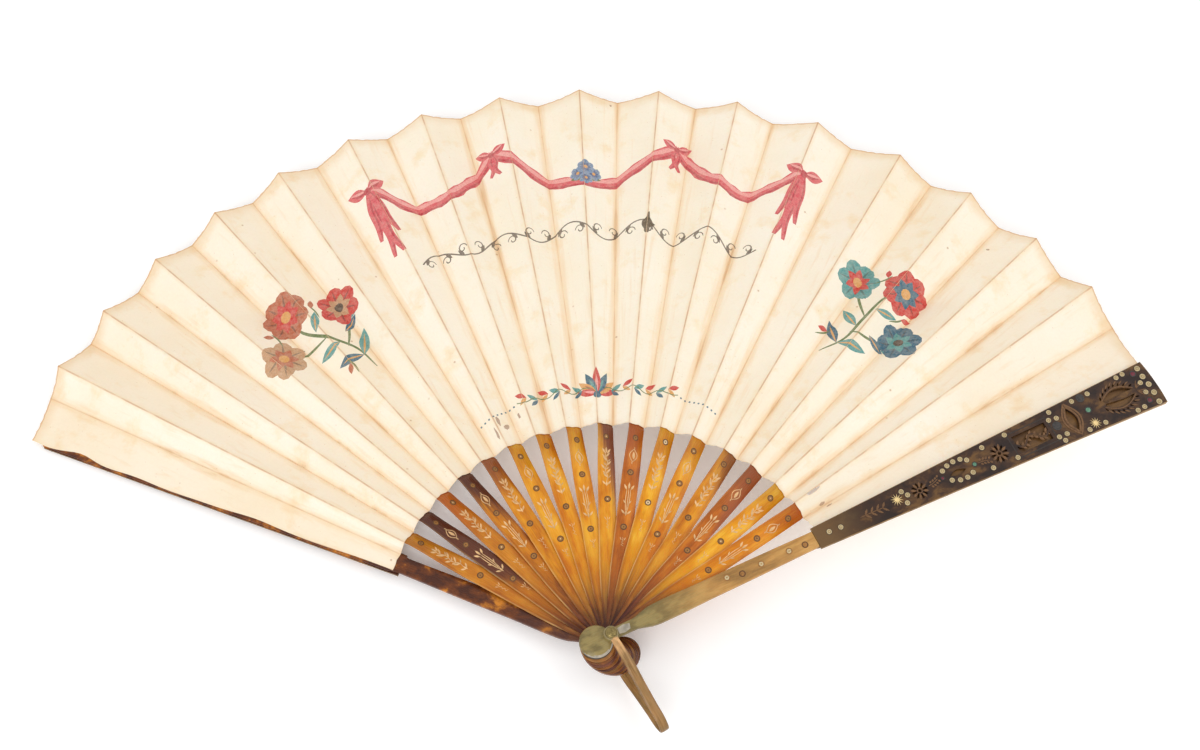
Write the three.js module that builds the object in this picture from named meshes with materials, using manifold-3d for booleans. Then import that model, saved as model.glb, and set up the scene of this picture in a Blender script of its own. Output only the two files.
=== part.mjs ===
// Folding fan, laid open: sixteen horn sticks and two guards turn on one rivet and carry a pleated leaf.
// Millimetres. The rivet stands along +Z with its back face at z = 0, and the fan opens about +Y.
import * as THREE from 'three';
import { mergeVertices } from 'three/addons/utils/BufferGeometryUtils.js';
import Module from 'manifold-3d';

const wasm = await Module();
wasm.setup();
const { degToRad, lerp, smoothstep } = THREE.MathUtils;

// Opening: how far the hand spread the fan, and how unevenly it shared that among the pleats.
const openSpread = degToRad(132.3);
const openingShares = [0.86, 0.86, 0.90, 0.94, 0.95, 0.99, 1.00, 1.04, 1.05, 1.04, 1.04, 1.08, 1.14, 1.02,
  1.00, 0.91, 1.17];
const stickCount = openingShares.length - 1;

// Leaf
const leafRadius = 250;
const gorgeRadius = 89;
const paperThickness = 0.2;
const creaseGap = 0.3;
const glueLine = 0.12;
const foldRise = 4.9;
const pleatHalfAngle = degToRad(1.985);

// Stack of sticks on the rivet
const stackPitch = 0.9;
const headThickness = 0.8;
const stickThickness = 0.64;
const stickWidth = 7;
const ribThickness = 0.34;
const ribRootWidth = 4;
const ribTipWidth = 2.4;
const ribMargin = 6;
const lobeRadius = 7;
const lobeOffset = 6;

// Guards
const guardMargin = 8;
const hornWidth = 8.1;
const shoulderWidth = 6.6;
const shoulderStep = 0.12;
const hornThickness = 2.1;
const coreThickness = 1;
const plaqueThickness = 1.3;
const plaqueRootWidth = 8.8;
const plaqueTipWidth = 19.5;
const plaqueLead = 2.4;
const plaqueOverhang = 0.3;
const domeHeight = 2.9;
const domeRim = 0.9;
const bossRadius = 2.8;
const bossHeight = 3;

// Rivet and loop
const rivetRadius = 1.4;
const runningClearance = 0.08;
const rivetHeadRadius = 2.1;
const rivetHeadHeight = 0.7;
const eyeRadius = 2.7;
const eyeGap = 0.1;
const loopThickness = 1;
const loopReach = 39;
const loopWidth = 3.6;
const loopAngle = degToRad(-60.5);

// Facets
const roundSteps = 24;
const domeSteps = 6;
const loopSteps = 40;
const ovalSteps = 6;
const smallOvalSteps = 3;
const flatPleatSteps = 1;
const twistedPleatSteps = 3;
const cutOverrun = 1;

// What follows from the sizes above
const lastLevel = stickCount + 1;
const ribLength = leafRadius - ribMargin;
const guardLength = leafRadius - guardMargin;
const plaqueStart = gorgeRadius - plaqueLead;
const boreRadius = (rivetRadius + runningClearance) / Math.cos(Math.PI / roundSteps);
// Heights above the middle of the stack: a guard's inner face, the loop's eye and the rivet's end.
const guardBase = (lastLevel * stackPitch - headThickness) / 2;
const eyeBase = guardBase + bossHeight + eyeGap;
const rivetHalf = eyeBase + loopThickness + eyeGap + rivetHeadHeight;
const foldSlope = foldRise / leafRadius;
const pleatTilt = Math.atan(foldSlope / Math.sin(pleatHalfAngle));
const leafSeat = paperThickness / 2 + glueLine;
const plaqueLift = leafSeat + coreThickness + glueLine;
const shareSum = openingShares.reduce((sum, share) => sum + share, 0);
const gapAngles = openingShares.map((share) => (openSpread * share) / shareSum);
const levelHeight = (level) => rivetHalf + (level - lastLevel / 2) * stackPitch;
const pieceAngles = [Math.PI / 2 + openSpread / 2];
for (const gap of gapAngles) {
  pieceAngles.push(pieceAngles[pieceAngles.length - 1] - gap);
}
const twoDigits = (number) => String(number).padStart(2, '0');

// Materials, by the piece that they finish
const finish = (color, roughness, metalness = 0) =>
  new THREE.MeshStandardMaterial({ color, roughness, metalness });
const tortoiseshell = finish(0x3f2a1a, 0.28);
const oliveHorn = finish(0x9b7a3f, 0.3);
const carvedHorn = finish(0x4a3422, 0.35);
const loopHorn = finish(0xa5814f, 0.3);
const paper = finish(0xf3e6c8, 0.85);
const steel = finish(0xa9a294, 0.35, 0.9);
const stickTones = [0xd18a24, 0x5d3316, 0xb8511c, 0x6e4420, 0xa8752a, 0xd8902a, 0xdc9a30, 0xd9a236,
  0x8f5a22, 0xb9561f, 0xdfa93e, 0xdca53a, 0xb98432, 0xa9622a, 0xd9a33a, 0xcf7d28];

// Joining and cutting of closed solids
function solidOf(geometry) {
  const bare = geometry.index ? geometry.toNonIndexed() : geometry.clone();
  bare.deleteAttribute('normal');
  bare.deleteAttribute('uv');
  const merged = mergeVertices(bare);
  return new wasm.Manifold(new wasm.Mesh({
    numProp: 3,
    vertProperties: new Float32Array(merged.attributes.position.array),
    triVerts: new Uint32Array(merged.index.array),
  }));
}

function geometryOf(solid) {
  const mesh = solid.getMesh();
  const geometry = new THREE.BufferGeometry();
  geometry.setAttribute('position', new THREE.BufferAttribute(new Float32Array(mesh.vertProperties), 3));
  geometry.setIndex(new THREE.BufferAttribute(new Uint32Array(mesh.triVerts), 1));
  return geometry;
}

function joined(geometries) {
  return geometries.map(solidOf).reduce((whole, solid) => whole.add(solid));
}

// A round bar along Z between two heights.
function roundBar(radius, low, high) {
  const bar = new THREE.CylinderGeometry(radius, radius, high - low, roundSteps);
  bar.rotateX(Math.PI / 2);
  bar.translate(0, 0, (low + high) / 2);
  return bar;
}

// A closed solid from rings of corners, each ring clockwise as seen from the ring before it. Faces that lie
// opposite each other are split along like diagonals, so that a thin twisted piece keeps its thickness.
function ringSolid(rings) {
  const corners = rings[0].length;
  const triangles = [];
  for (let ring = 0; ring < rings.length - 1; ring += 1) {
    for (let corner = 0; corner < corners; corner += 1) {
      const next = (corner + 1) % corners;
      const here = ring * corners;
      const there = here + corners;
      if (corner < corners / 2) {
        triangles.push(here + corner, here + next, there + next);
        triangles.push(here + corner, there + next, there + corner);
      } else {
        triangles.push(here + corner, here + next, there + corner);
        triangles.push(here + next, there + next, there + corner);
      }
    }
  }
  const last = (rings.length - 1) * corners;
  for (let corner = 1; corner < corners - 1; corner += 1) {
    triangles.push(0, corner + 1, corner);
    triangles.push(last, last + corner, last + corner + 1);
  }
  const geometry = new THREE.BufferGeometry();
  geometry.setAttribute('position', new THREE.Float32BufferAttribute(rings.flat(2), 3));
  geometry.setIndex(triangles);
  return geometry;
}

// A flat bar along +Y through stations of half width, underside, top and twist.
function barSolid(stations) {
  return ringSolid(stations.map(({ along, half, under, top, twist = 0 }) => {
    const turn = ([x, z]) => [
      x * Math.cos(twist) + z * Math.sin(twist), along, z * Math.cos(twist) - x * Math.sin(twist)];
    return [[-half, top], [half, top], [half, under], [-half, under]].map(turn);
  }));
}

// Sticks
// Each lobe is cut down towards the ends of the stack, so that the closed head is a rounded bulb.
const bulbPower = 3;
function lobeRadiusAt(level) {
  const share = Math.abs(level - lastLevel / 2) * stackPitch / rivetHalf;
  return lobeRadius * (1 - share ** bulbPower) ** (1 / bulbPower);
}

// Stations round a lobe, as shares of a half turn from its far end.
const lobeTurnShares = [0.96, 0.86, 0.74, 0.62, 0.5, 0.38, 0.27, 0.17];
// Places along a stick as shares of the gorge radius, with widths as shares of the stick's width.
const stickWaistShares = [[0.03, 0.63], [0.09, 0.63], [0.13, 0.72], [0.2, 0.88], [0.32, 1], [0.5, 1]];
const thinnedShare = 0.5;
const twistStartShare = 0.66;
const twistEndShare = 0.96;
const shoulderShare = 0.975;
const twistSteps = 5;

function lobeStations(radius, thickness) {
  return lobeTurnShares.map((share) => ({
    along: radius * Math.cos(share * Math.PI) - lobeOffset,
    half: radius * Math.sin(share * Math.PI),
    under: -thickness / 2,
    top: thickness / 2,
  }));
}

function stickSolid(level) {
  const half = stickWidth / 2;
  const blade = { half, under: -stickThickness / 2, top: stickThickness / 2 };
  const rib = { under: -leafSeat - ribThickness, top: -leafSeat, twist: pleatTilt };
  const stations = lobeStations(lobeRadiusAt(level), headThickness);
  for (const [place, width] of stickWaistShares) {
    const thickness = lerp(headThickness, stickThickness, smoothstep(place, 0, thinnedShare));
    stations.push({
      along: gorgeRadius * place, half: half * width, under: -thickness / 2, top: thickness / 2 });
  }
  for (let step = 0; step <= twistSteps; step += 1) {
    const share = step / twistSteps;
    stations.push({
      ...blade,
      along: gorgeRadius * lerp(twistStartShare, twistEndShare, share),
      twist: pleatTilt * smoothstep(share, 0, 1),
    });
  }
  stations.push({ ...blade, along: gorgeRadius * shoulderShare, twist: pleatTilt });
  stations.push({ ...rib, along: gorgeRadius + creaseGap / 2, half: ribRootWidth / 2 });
  stations.push({ ...rib, along: ribLength - ribTipWidth / 2, half: ribTipWidth / 2 });
  stations.push({ ...rib, along: ribLength, half: ribTipWidth / 4 });
  const bore = solidOf(roundBar(boreRadius, -headThickness, headThickness));
  return geometryOf(solidOf(barSolid(stations)).subtract(bore));
}

// Leaf
// A fold line runs out from the rivet's axis: its height starts at a level and climbs or falls steadily.
const foldLine = (level, angle, climb, reach = leafRadius) => ({ level, angle, climb, reach });
const mountainFold = (level) => foldLine(level, pieceAngles[level] + pleatHalfAngle, foldSlope);
const valleyFold = (level) => foldLine(level, pieceAngles[level] - pleatHalfAngle, -foldSlope);
const guardHalfAngle = Math.atan(plaqueTipWidth / 2 / guardLength);
const backValley = foldLine(0, pieceAngles[0] - guardHalfAngle, -foldSlope);
const backEdge = foldLine(0, pieceAngles[0] + guardHalfAngle, -foldSlope, guardLength + plaqueTipWidth / 4);
const frontMountain = foldLine(lastLevel, pieceAngles[lastLevel] + guardHalfAngle, foldSlope, guardLength);
const frontEdge = foldLine(lastLevel, pieceAngles[lastLevel] - guardHalfAngle, foldSlope, guardLength);

function pointOn(fold, radius) {
  const height = levelHeight(fold.level) + fold.climb * radius;
  return new THREE.Vector3(radius * Math.cos(fold.angle), radius * Math.sin(fold.angle), height);
}

// A pleat from its left fold to its right one, held back from both creases. A free pleat's folds lie askew,
// so the strip twists: it is built in steps, each with its thickness square to the strip.
function pleatSolid(left, right, steps) {
  const along = pointOn(left, left.reach).sub(pointOn(left, gorgeRadius));
  const rings = [];
  for (let step = 0; step <= steps; step += 1) {
    const share = step / steps;
    const start = pointOn(left, lerp(gorgeRadius, left.reach, share));
    const end = pointOn(right, lerp(gorgeRadius, right.reach, share));
    const across = end.clone().sub(start);
    const lift = across.clone().cross(along).setLength(paperThickness / 2);
    const inset = across.setLength(creaseGap / 2);
    start.add(inset);
    end.sub(inset);
    const corners = [[start, 1], [end, 1], [end, -1], [start, -1]];
    rings.push(corners.map(([corner, side]) => corner.clone().addScaledVector(lift, side).toArray()));
  }
  return ringSolid(rings);
}

// Guards, built lying along +Y with the stack below them
// A guard lies flat on the stack's head, then climbs to the height that the folded leaf needs.
const headPlateShare = 0.13;
const headPlate = gorgeRadius * headPlateShare;
const leafTop = (along) => leafSeat + foldSlope * along;
function guardSeat(along) {
  if (along <= headPlate) {
    return -headThickness / 2;
  }
  if (along < gorgeRadius) {
    return lerp(-headThickness / 2, leafTop(gorgeRadius), (along - headPlate) / (gorgeRadius - headPlate));
  }
  return leafTop(along);
}

// Places along the horn as shares of the gorge radius, with widths as shares of the horn's width.
const hornShares = [[-0.015, 0.54], [0.085, 0.54], [0.13, 0.68], [0.17, 0.84], [0.23, 0.96], [0.3, 1],
  [0.44, 0.93], [0.62, 0.91]];

function plaqueHalfWidth(along) {
  return lerp(plaqueRootWidth, plaqueTipWidth, (along - plaqueStart) / (guardLength - plaqueStart)) / 2;
}

function guardDome(radius) {
  const base = -headThickness / 2;
  const profile = [new THREE.Vector2(0, base), new THREE.Vector2(radius, base)];
  for (let step = 0; step <= domeSteps; step += 1) {
    const turn = (step / domeSteps) * (Math.PI / 2);
    const crown = (domeHeight - domeRim) * Math.sin(turn);
    profile.push(new THREE.Vector2(step < domeSteps ? radius * Math.cos(turn) : 0, base + domeRim + crown));
  }
  const dome = new THREE.LatheGeometry(profile, roundSteps);
  dome.rotateX(Math.PI / 2);
  dome.translate(0, -lobeOffset, 0);
  return dome;
}

// The horn ends in a shoulder, and a thin core runs on under the plaque.
function guardSolid() {
  const base = -headThickness / 2;
  const hornStation = (along, half) => (
    { along, half, under: guardSeat(along), top: guardSeat(along) + hornThickness });
  const coreStation = (along) => ({
    along,
    half: plaqueHalfWidth(along) - plaqueOverhang,
    under: guardSeat(along),
    top: guardSeat(along) + coreThickness,
  });
  const hornHalf = hornWidth / 2;
  const stations = hornShares.map(([place, width]) => hornStation(gorgeRadius * place, hornHalf * width));
  const stepPlace = plaqueStart - glueLine;
  stations.push(hornStation(stepPlace - shoulderStep, shoulderWidth / 2));
  stations.push(coreStation(stepPlace), coreStation(gorgeRadius), coreStation(guardLength - plaqueOverhang));
  const boss = roundBar(bossRadius, base, base + bossHeight);
  const whole = joined([barSolid(stations), guardDome(lobeRadiusAt(lastLevel)), boss]);
  const bore = solidOf(roundBar(boreRadius, base - cutOverrun, base + bossHeight + cutOverrun));
  return geometryOf(whole.subtract(bore));
}

// Pierced work of a guard's plaque
// Each ornament stands at a share of the plaque's length, and is sized in shares of its half width there.
const flowerShares = [[0.294, -0.04, 0.62], [0.527, -0.02, 0.56]];
const flowerEyeShares = [0.18, 0.16];
const petalPlaceShare = 0.64;
const petalSizeShares = [0.3, 0.13];
const petalCount = 8;
const slitPlaceShare = 0.406;
const slitSizeShares = [0.55, 0.19];
const windowShares = [0.578, 0.674, 0.48];
const stemWidthShare = 0.16;
const stemSwayShare = 0.42;
const stemWaves = 1.5;
const stemSteps = 9;
const eyePlaceShare = 0.746;
const eyeSizeShares = [0.62, 0.24];
const wreathPlaceShare = 0.888;
const wreathSizeShares = [0.92, 0.42];
const wreathSteps = 8;
const wreathTrimShare = 0.1;
const leafTrimShare = 0.14;
const leafWidthShare = 0.22;
const leafRootShare = 0.35;
const leafletCount = 8;
const leafletEndShare = 0.08;
const leafletOutShares = [1.05, 0.42];
const leafletSizeShares = [0.26, 0.09];
const leafletLeans = [degToRad(66), degToRad(9)];
const tipBowShare = 0.03;
const tipFlatShare = 0.33;

const placeOn = (share) => lerp(plaqueStart, guardLength, share);

// A pointed oval outline: two arcs that meet at its tips.
function pointedOval(x, y, halfLength, halfWidth, turn, steps) {
  const centre = new THREE.Vector2(x, y);
  const points = [];
  for (let step = 0; step < 2 * steps; step += 1) {
    const side = step < steps ? 1 : -1;
    const share = (step % steps) / steps;
    const along = side * lerp(halfLength, -halfLength, share);
    const across = side * halfWidth * Math.sin(Math.PI * share);
    points.push(new THREE.Vector2(x + along, y + across).rotateAround(centre, turn));
  }
  return new THREE.Path(points);
}

// A pointed oval in the middle of the plaque, sized by shares of the half width there.
function middleOval(placeShare, [lengthShare, widthShare], turn) {
  const y = placeOn(placeShare);
  const half = plaqueHalfWidth(y);
  return pointedOval(0, y, half * lengthShare, half * widthShare, turn, ovalSteps);
}

function flowerHoles(placeShare, sideShare, sizeShare) {
  const y = placeOn(placeShare);
  const size = plaqueHalfWidth(y) * sizeShare;
  const x = -plaqueHalfWidth(y) * sideShare;
  const oval = (place, turn, [lengthShare, widthShare]) => pointedOval(
    x + place * Math.cos(turn), y + place * Math.sin(turn), size * lengthShare, size * widthShare, turn,
    smallOvalSteps);
  const holes = [oval(0, 0, flowerEyeShares)];
  for (let petal = 0; petal < petalCount; petal += 1) {
    holes.push(oval(size * petalPlaceShare, (petal / petalCount) * 2 * Math.PI, petalSizeShares));
  }
  return holes;
}

// A long window with a wavy stem left standing down its middle.
function windowHoles() {
  const [startShare, endShare, widthShare] = windowShares;
  const start = placeOn(startShare);
  const end = placeOn(endShare);
  const half = plaqueHalfWidth((start + end) / 2) * widthShare;
  return [-1, 1].map((side) => {
    const points = [new THREE.Vector2(side * half, end), new THREE.Vector2(side * half, start)];
    for (let step = 0; step <= stemSteps; step += 1) {
      const share = step / stemSteps;
      const middle = half * stemSwayShare * Math.sin(stemWaves * 2 * Math.PI * share);
      points.push(new THREE.Vector2(middle + side * half * stemWidthShare, lerp(start, end, share)));
    }
    return new THREE.Path(points);
  });
}

// A large pointed oval with a leaf left standing in it, and leaflets cut round it.
function wreathHoles() {
  const y = placeOn(wreathPlaceShare);
  const half = plaqueHalfWidth(y);
  const [halfLength, halfWidth] = wreathSizeShares.map((share) => half * share);
  const place = (share) => y + lerp(-halfLength, halfLength, share);
  const holes = [-1, 1].map((side) => {
    const points = [];
    for (let step = 0; step <= wreathSteps; step += 1) {
      const share = lerp(wreathTrimShare, 1 - wreathTrimShare, step / wreathSteps);
      points.push(new THREE.Vector2(side * halfWidth * Math.sin(Math.PI * share), place(share)));
    }
    for (let step = wreathSteps; step >= 0; step -= 1) {
      const share = lerp(leafTrimShare, 1 - leafTrimShare, step / wreathSteps);
      const swell = lerp(leafRootShare, 1, Math.sin(Math.PI * share));
      points.push(new THREE.Vector2(side * half * leafWidthShare * swell * share, place(share)));
    }
    return new THREE.Path(points);
  });
  const [leafletLength, leafletWidth] = leafletSizeShares.map((share) => halfWidth * share);
  for (let leaflet = 0; leaflet < leafletCount; leaflet += 1) {
    const share = lerp(leafletEndShare, 1 - leafletEndShare, leaflet / (leafletCount - 1));
    const out = halfWidth * (Math.sin(Math.PI * share) * leafletOutShares[0] + leafletOutShares[1]);
    for (const side of [-1, 1]) {
      const turn = Math.PI / 2 - side * lerp(...leafletLeans, share);
      holes.push(pointedOval(side * out, place(share), leafletLength, leafletWidth, turn, smallOvalSteps));
    }
  }
  return holes;
}

function plaqueSolid() {
  const root = plaqueRootWidth / 2;
  const tip = plaqueTipWidth / 2;
  const corner = guardLength - plaqueTipWidth * tipBowShare;
  const outline = new THREE.Shape([
    new THREE.Vector2(-root, plaqueStart),
    new THREE.Vector2(root, plaqueStart),
    new THREE.Vector2(tip, corner),
    new THREE.Vector2(tip * tipFlatShare, guardLength),
    new THREE.Vector2(-tip * tipFlatShare, guardLength),
    new THREE.Vector2(-tip, corner),
  ]);
  outline.holes = [
    ...flowerShares.flatMap((shares) => flowerHoles(...shares)),
    middleOval(slitPlaceShare, slitSizeShares, Math.PI / 2),
    ...windowHoles(),
    middleOval(eyePlaceShare, eyeSizeShares, 0),
    ...wreathHoles(),
  ];
  const plate = new THREE.ExtrudeGeometry(outline, { depth: plaqueThickness, bevelEnabled: false });
  plate.rotateX(Math.atan(foldSlope));
  plate.translate(0, 0, plaqueLift);
  return geometryOf(solidOf(plate));
}

// Rivet, with a flat head at the back and a low dome at the front
// Outlines of its two heads from the bottom up, as shares of a head's radius and height.
const rivetFootShares = [[0.85, 0], [1, 0.4], [1, 1]];
const rivetCrownShares = [[1, 0], [0.9, 0.5], [0.5, 0.9], [0, 1]];

function rivetSolid() {
  const neck = 2 * rivetHalf - rivetHeadHeight;
  const head = (shares, base) => shares.map(([out, up]) => (
    new THREE.Vector2(out * rivetHeadRadius, base + up * rivetHeadHeight)));
  const profile = [
    new THREE.Vector2(0, 0),
    ...head(rivetFootShares, 0),
    new THREE.Vector2(rivetRadius, rivetHeadHeight),
    new THREE.Vector2(rivetRadius, neck),
    ...head(rivetCrownShares, neck),
  ];
  const rivet = new THREE.LatheGeometry(profile, roundSteps);
  rivet.rotateX(Math.PI / 2);
  return geometryOf(solidOf(rivet));
}

// Loop
// Half of the loop's middle line, from an eye to its end, as shares of its reach and of the eye's height.
const loopShares = [[0.2, 1], [0.36, 0.93], [0.55, 0.66], [0.75, 0.46], [0.9, 0.36]];
const curveTension = 0.5;

function loopSolid() {
  const high = eyeBase + loopThickness / 2;
  const bend = loopReach - loopThickness / 2;
  const route = [[0, high], ...loopShares.map(([along, height]) => [along * loopReach, height * high])];
  const mirrored = route.map(([along, height]) => [along, -height]).reverse();
  const points = [...route, [bend, 0], ...mirrored].map(([x, y]) => new THREE.Vector3(x, y, 0));
  const curve = new THREE.CatmullRomCurve3(points, false, 'catmullrom', curveTension);
  const outer = [];
  const inner = [];
  for (let step = 0; step <= loopSteps; step += 1) {
    const share = step / loopSteps;
    const place = curve.getPointAt(share);
    const ahead = curve.getTangentAt(share);
    const side = new THREE.Vector2(-ahead.y, ahead.x).setLength(loopThickness / 2);
    outer.push(new THREE.Vector2(place.x + side.x, place.y + side.y));
    inner.push(new THREE.Vector2(place.x - side.x, place.y - side.y));
  }
  for (const [edge, height] of [[outer, eyeBase + loopThickness], [inner, eyeBase]]) {
    edge[0].set(0, height);
    edge[loopSteps].set(0, -height);
  }
  const section = new THREE.Shape([...outer, ...inner.reverse()]);
  const band = new THREE.ExtrudeGeometry(section, { depth: loopWidth, bevelEnabled: false });
  band.translate(0, 0, -loopWidth / 2);
  band.rotateX(Math.PI / 2);
  const top = eyeBase + loopThickness;
  const eyes = [eyeBase, -top].map((low) => roundBar(eyeRadius, low, low + loopThickness));
  const bore = solidOf(roundBar(boreRadius, -top - cutOverrun, top + cutOverrun));
  return geometryOf(joined([band, ...eyes]).subtract(bore));
}

// Assembly
const fan = new THREE.Group();

function addPiece(parent, name, geometry, material) {
  const mesh = new THREE.Mesh(geometry, material);
  mesh.name = name;
  parent.add(mesh);
}

// A place on the rivet: the piece's own +Y points out along its angle.
function placeOnRivet(level) {
  const place = new THREE.Group();
  place.position.z = levelHeight(level);
  place.rotation.z = pieceAngles[level] - Math.PI / 2;
  fan.add(place);
  return place;
}

// The back guard is the front one's twin, turned over about its own length.
const backFacing = new THREE.Group();
backFacing.rotation.y = Math.PI;
placeOnRivet(0).add(backFacing);
addPiece(backFacing, 'guard_back', guardSolid(), tortoiseshell);
addPiece(backFacing, 'guard_back_plaque', plaqueSolid(), tortoiseshell);
addPiece(fan, 'leaf_end_back', pleatSolid(backEdge, backValley, flatPleatSteps), paper);

for (let level = 1; level <= stickCount; level += 1) {
  const tone = finish(stickTones[level - 1], 0.25);
  addPiece(placeOnRivet(level), `stick_${twoDigits(level)}`, stickSolid(level), tone);
  const pleat = pleatSolid(mountainFold(level), valleyFold(level), flatPleatSteps);
  addPiece(fan, `leaf_panel_${twoDigits(level)}`, pleat, paper);
}

const frontPlace = placeOnRivet(lastLevel);
addPiece(frontPlace, 'guard_front', guardSolid(), oliveHorn);
addPiece(frontPlace, 'guard_front_plaque', plaqueSolid(), carvedHorn);
addPiece(fan, 'leaf_end_front', pleatSolid(frontMountain, frontEdge, flatPleatSteps), paper);

// The free pleats between the glued ones
for (let level = 0; level <= stickCount; level += 1) {
  const valley = level === 0 ? backValley : valleyFold(level);
  const mountain = level === stickCount ? frontMountain : mountainFold(level + 1);
  addPiece(fan, `leaf_fold_${twoDigits(level)}`, pleatSolid(valley, mountain, twistedPleatSteps), paper);
}

addPiece(fan, 'rivet', rivetSolid(), steel);
const loopPlace = new THREE.Group();
loopPlace.position.z = rivetHalf;
loopPlace.rotation.z = loopAngle;
fan.add(loopPlace);
addPiece(loopPlace, 'loop', loopSolid(), loopHorn);

export default fan;
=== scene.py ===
import bpy
import bmesh
import math
import numpy as np
from mathutils import Matrix, Vector
from mathutils.geometry import delaunay_2d_cdt


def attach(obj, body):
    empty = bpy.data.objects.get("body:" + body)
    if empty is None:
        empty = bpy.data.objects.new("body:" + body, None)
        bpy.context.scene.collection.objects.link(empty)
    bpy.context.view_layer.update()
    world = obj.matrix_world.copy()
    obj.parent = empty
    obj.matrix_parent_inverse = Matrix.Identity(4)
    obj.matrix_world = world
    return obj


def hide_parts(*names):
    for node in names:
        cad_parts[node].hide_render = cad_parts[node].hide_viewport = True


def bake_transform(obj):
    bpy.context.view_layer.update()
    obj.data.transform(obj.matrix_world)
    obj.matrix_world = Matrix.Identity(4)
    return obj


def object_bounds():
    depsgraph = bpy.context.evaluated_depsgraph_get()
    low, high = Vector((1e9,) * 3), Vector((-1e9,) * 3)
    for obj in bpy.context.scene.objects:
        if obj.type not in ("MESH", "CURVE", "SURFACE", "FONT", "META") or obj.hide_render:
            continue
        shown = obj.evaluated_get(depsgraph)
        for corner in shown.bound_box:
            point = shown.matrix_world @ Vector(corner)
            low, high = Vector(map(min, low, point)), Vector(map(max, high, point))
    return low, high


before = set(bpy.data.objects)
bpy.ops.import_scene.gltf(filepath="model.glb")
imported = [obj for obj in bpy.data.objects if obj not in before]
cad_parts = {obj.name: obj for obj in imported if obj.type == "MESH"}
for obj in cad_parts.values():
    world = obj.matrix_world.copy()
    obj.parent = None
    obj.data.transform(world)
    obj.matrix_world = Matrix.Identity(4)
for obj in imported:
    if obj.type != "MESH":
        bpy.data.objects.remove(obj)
cad_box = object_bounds()
MM = 0.001

# Sizes of the fan, in millimetres and degrees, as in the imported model
OPEN_SPREAD = 132.3
OPENING_SHARES = [0.86, 0.86, 0.90, 0.94, 0.95, 0.99, 1.00, 1.04, 1.05, 1.04, 1.04, 1.08, 1.14, 1.02, 1.00, 0.91, 1.17]
LEAF_RADIUS, GORGE_RADIUS = 250.0, 89.0
PAPER, GLUE = 0.2, 0.12
FOLD_RISE = 4.9
PLEAT_HALF = math.radians(1.985)
PITCH = 0.9
HEAD_THICKNESS, STICK_THICKNESS, STICK_WIDTH = 0.8, 0.64, 7.0
RIB_THICKNESS, RIB_ROOT, RIB_TIP = 0.34, 4.0, 2.4
LOBE_RADIUS, LOBE_OFFSET = 7.0, 6.0
GUARD_LENGTH, HORN_WIDTH, SHOULDER_WIDTH = 242.0, 8.1, 6.6
HORN_THICKNESS, CORE_THICKNESS = 2.1, 1.0
PLAQUE_THICKNESS, PLAQUE_ROOT, PLAQUE_TIP, PLAQUE_OVERHANG = 1.3, 8.8, 19.5, 0.3
DOME_HEIGHT, DOME_RIM = 2.9, 0.9
BOSS_RADIUS, BOSS_HEIGHT = 2.8, 3.0
RIVET_RADIUS, RIVET_HEAD, RIVET_HEAD_HEIGHT = 1.4, 2.1, 0.7
EYE_RADIUS, EYE_GAP = 2.7, 0.1
LOOP_THICKNESS, LOOP_REACH, LOOP_WIDTH = 1.0, 39.0, 3.6
LOOP_ANGLE = math.radians(-60.5)

LAST = len(OPENING_SHARES)
RIB_LENGTH = LEAF_RADIUS - 6.0
PLAQUE_START = GORGE_RADIUS - 2.4
GUARD_BASE = (LAST * PITCH - HEAD_THICKNESS) / 2
EYE_BASE = GUARD_BASE + BOSS_HEIGHT + EYE_GAP
RIVET_HALF = EYE_BASE + LOOP_THICKNESS + EYE_GAP + RIVET_HEAD_HEIGHT
SLOPE = FOLD_RISE / LEAF_RADIUS
TILT = math.atan(SLOPE / math.sin(PLEAT_HALF))
LEAF_SEAT = PAPER / 2 + GLUE
PLAQUE_LIFT = LEAF_SEAT + CORE_THICKNESS + GLUE
ANGLES = [math.pi / 2 + math.radians(OPEN_SPREAD) / 2]
for opening in OPENING_SHARES:
    ANGLES.append(ANGLES[-1] - math.radians(OPEN_SPREAD) * opening / sum(OPENING_SHARES))
BODIES = ["back_guard"] + [f"stick_{k:02d}" for k in range(1, LAST)] + ["front_guard"]


def level_height(level):
    return RIVET_HALF + (level - LAST / 2) * PITCH


def smooth(value, low, high):
    share = min(1.0, max(0.0, (value - low) / (high - low)))
    return share * share * (3 - 2 * share)


def mix(a, b, share):
    return a + (b - a) * share


def placed(name, data):
    obj = bpy.data.objects.new(name, data)
    bpy.context.scene.collection.objects.link(obj)
    return obj


# Camera and light
CAMERA_AXES = Matrix(((0.99904, -0.03067, 0.03121), (0.01379, 0.89765, 0.44049), (-0.04152, -0.43964, 0.89721)))
CAMERA_PLACE = Vector((-25.66, -157.35, 560.14))
cam = placed("camera", bpy.data.cameras.new("camera"))
cam.data.sensor_width, cam.data.lens = 36, 45
cam.data.clip_start, cam.data.clip_end = 0.01, 50
cam_place = CAMERA_AXES.transposed().to_4x4()
cam_place.translation = CAMERA_PLACE * MM
cam.matrix_world = cam_place
bpy.context.scene.camera = cam
bpy.context.scene.view_settings.view_transform = "Standard"

world = bpy.data.worlds.new("world")
bpy.context.scene.world = world
world.use_nodes = True
world.node_tree.nodes["Background"].inputs["Color"].default_value = (1.0, 0.995, 0.985, 1)
world.node_tree.nodes["Background"].inputs["Strength"].default_value = 0.83
LIGHTS_AIM = Vector((0, 0.1, 0))
for name, spot, wide, power in (("key", (-0.45, -1.1, 1.3), 1.1, 9), ("fill", (1.0, 0.3, 1.3), 1.3, 3)):
    light = placed(name, bpy.data.lights.new(name, "AREA"))
    light.data.shape, light.data.size, light.data.energy = "DISK", wide, power
    light.location = spot
    light.rotation_euler = (LIGHTS_AIM - Vector(spot)).to_track_quat("-Z", "Y").to_euler()


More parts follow.
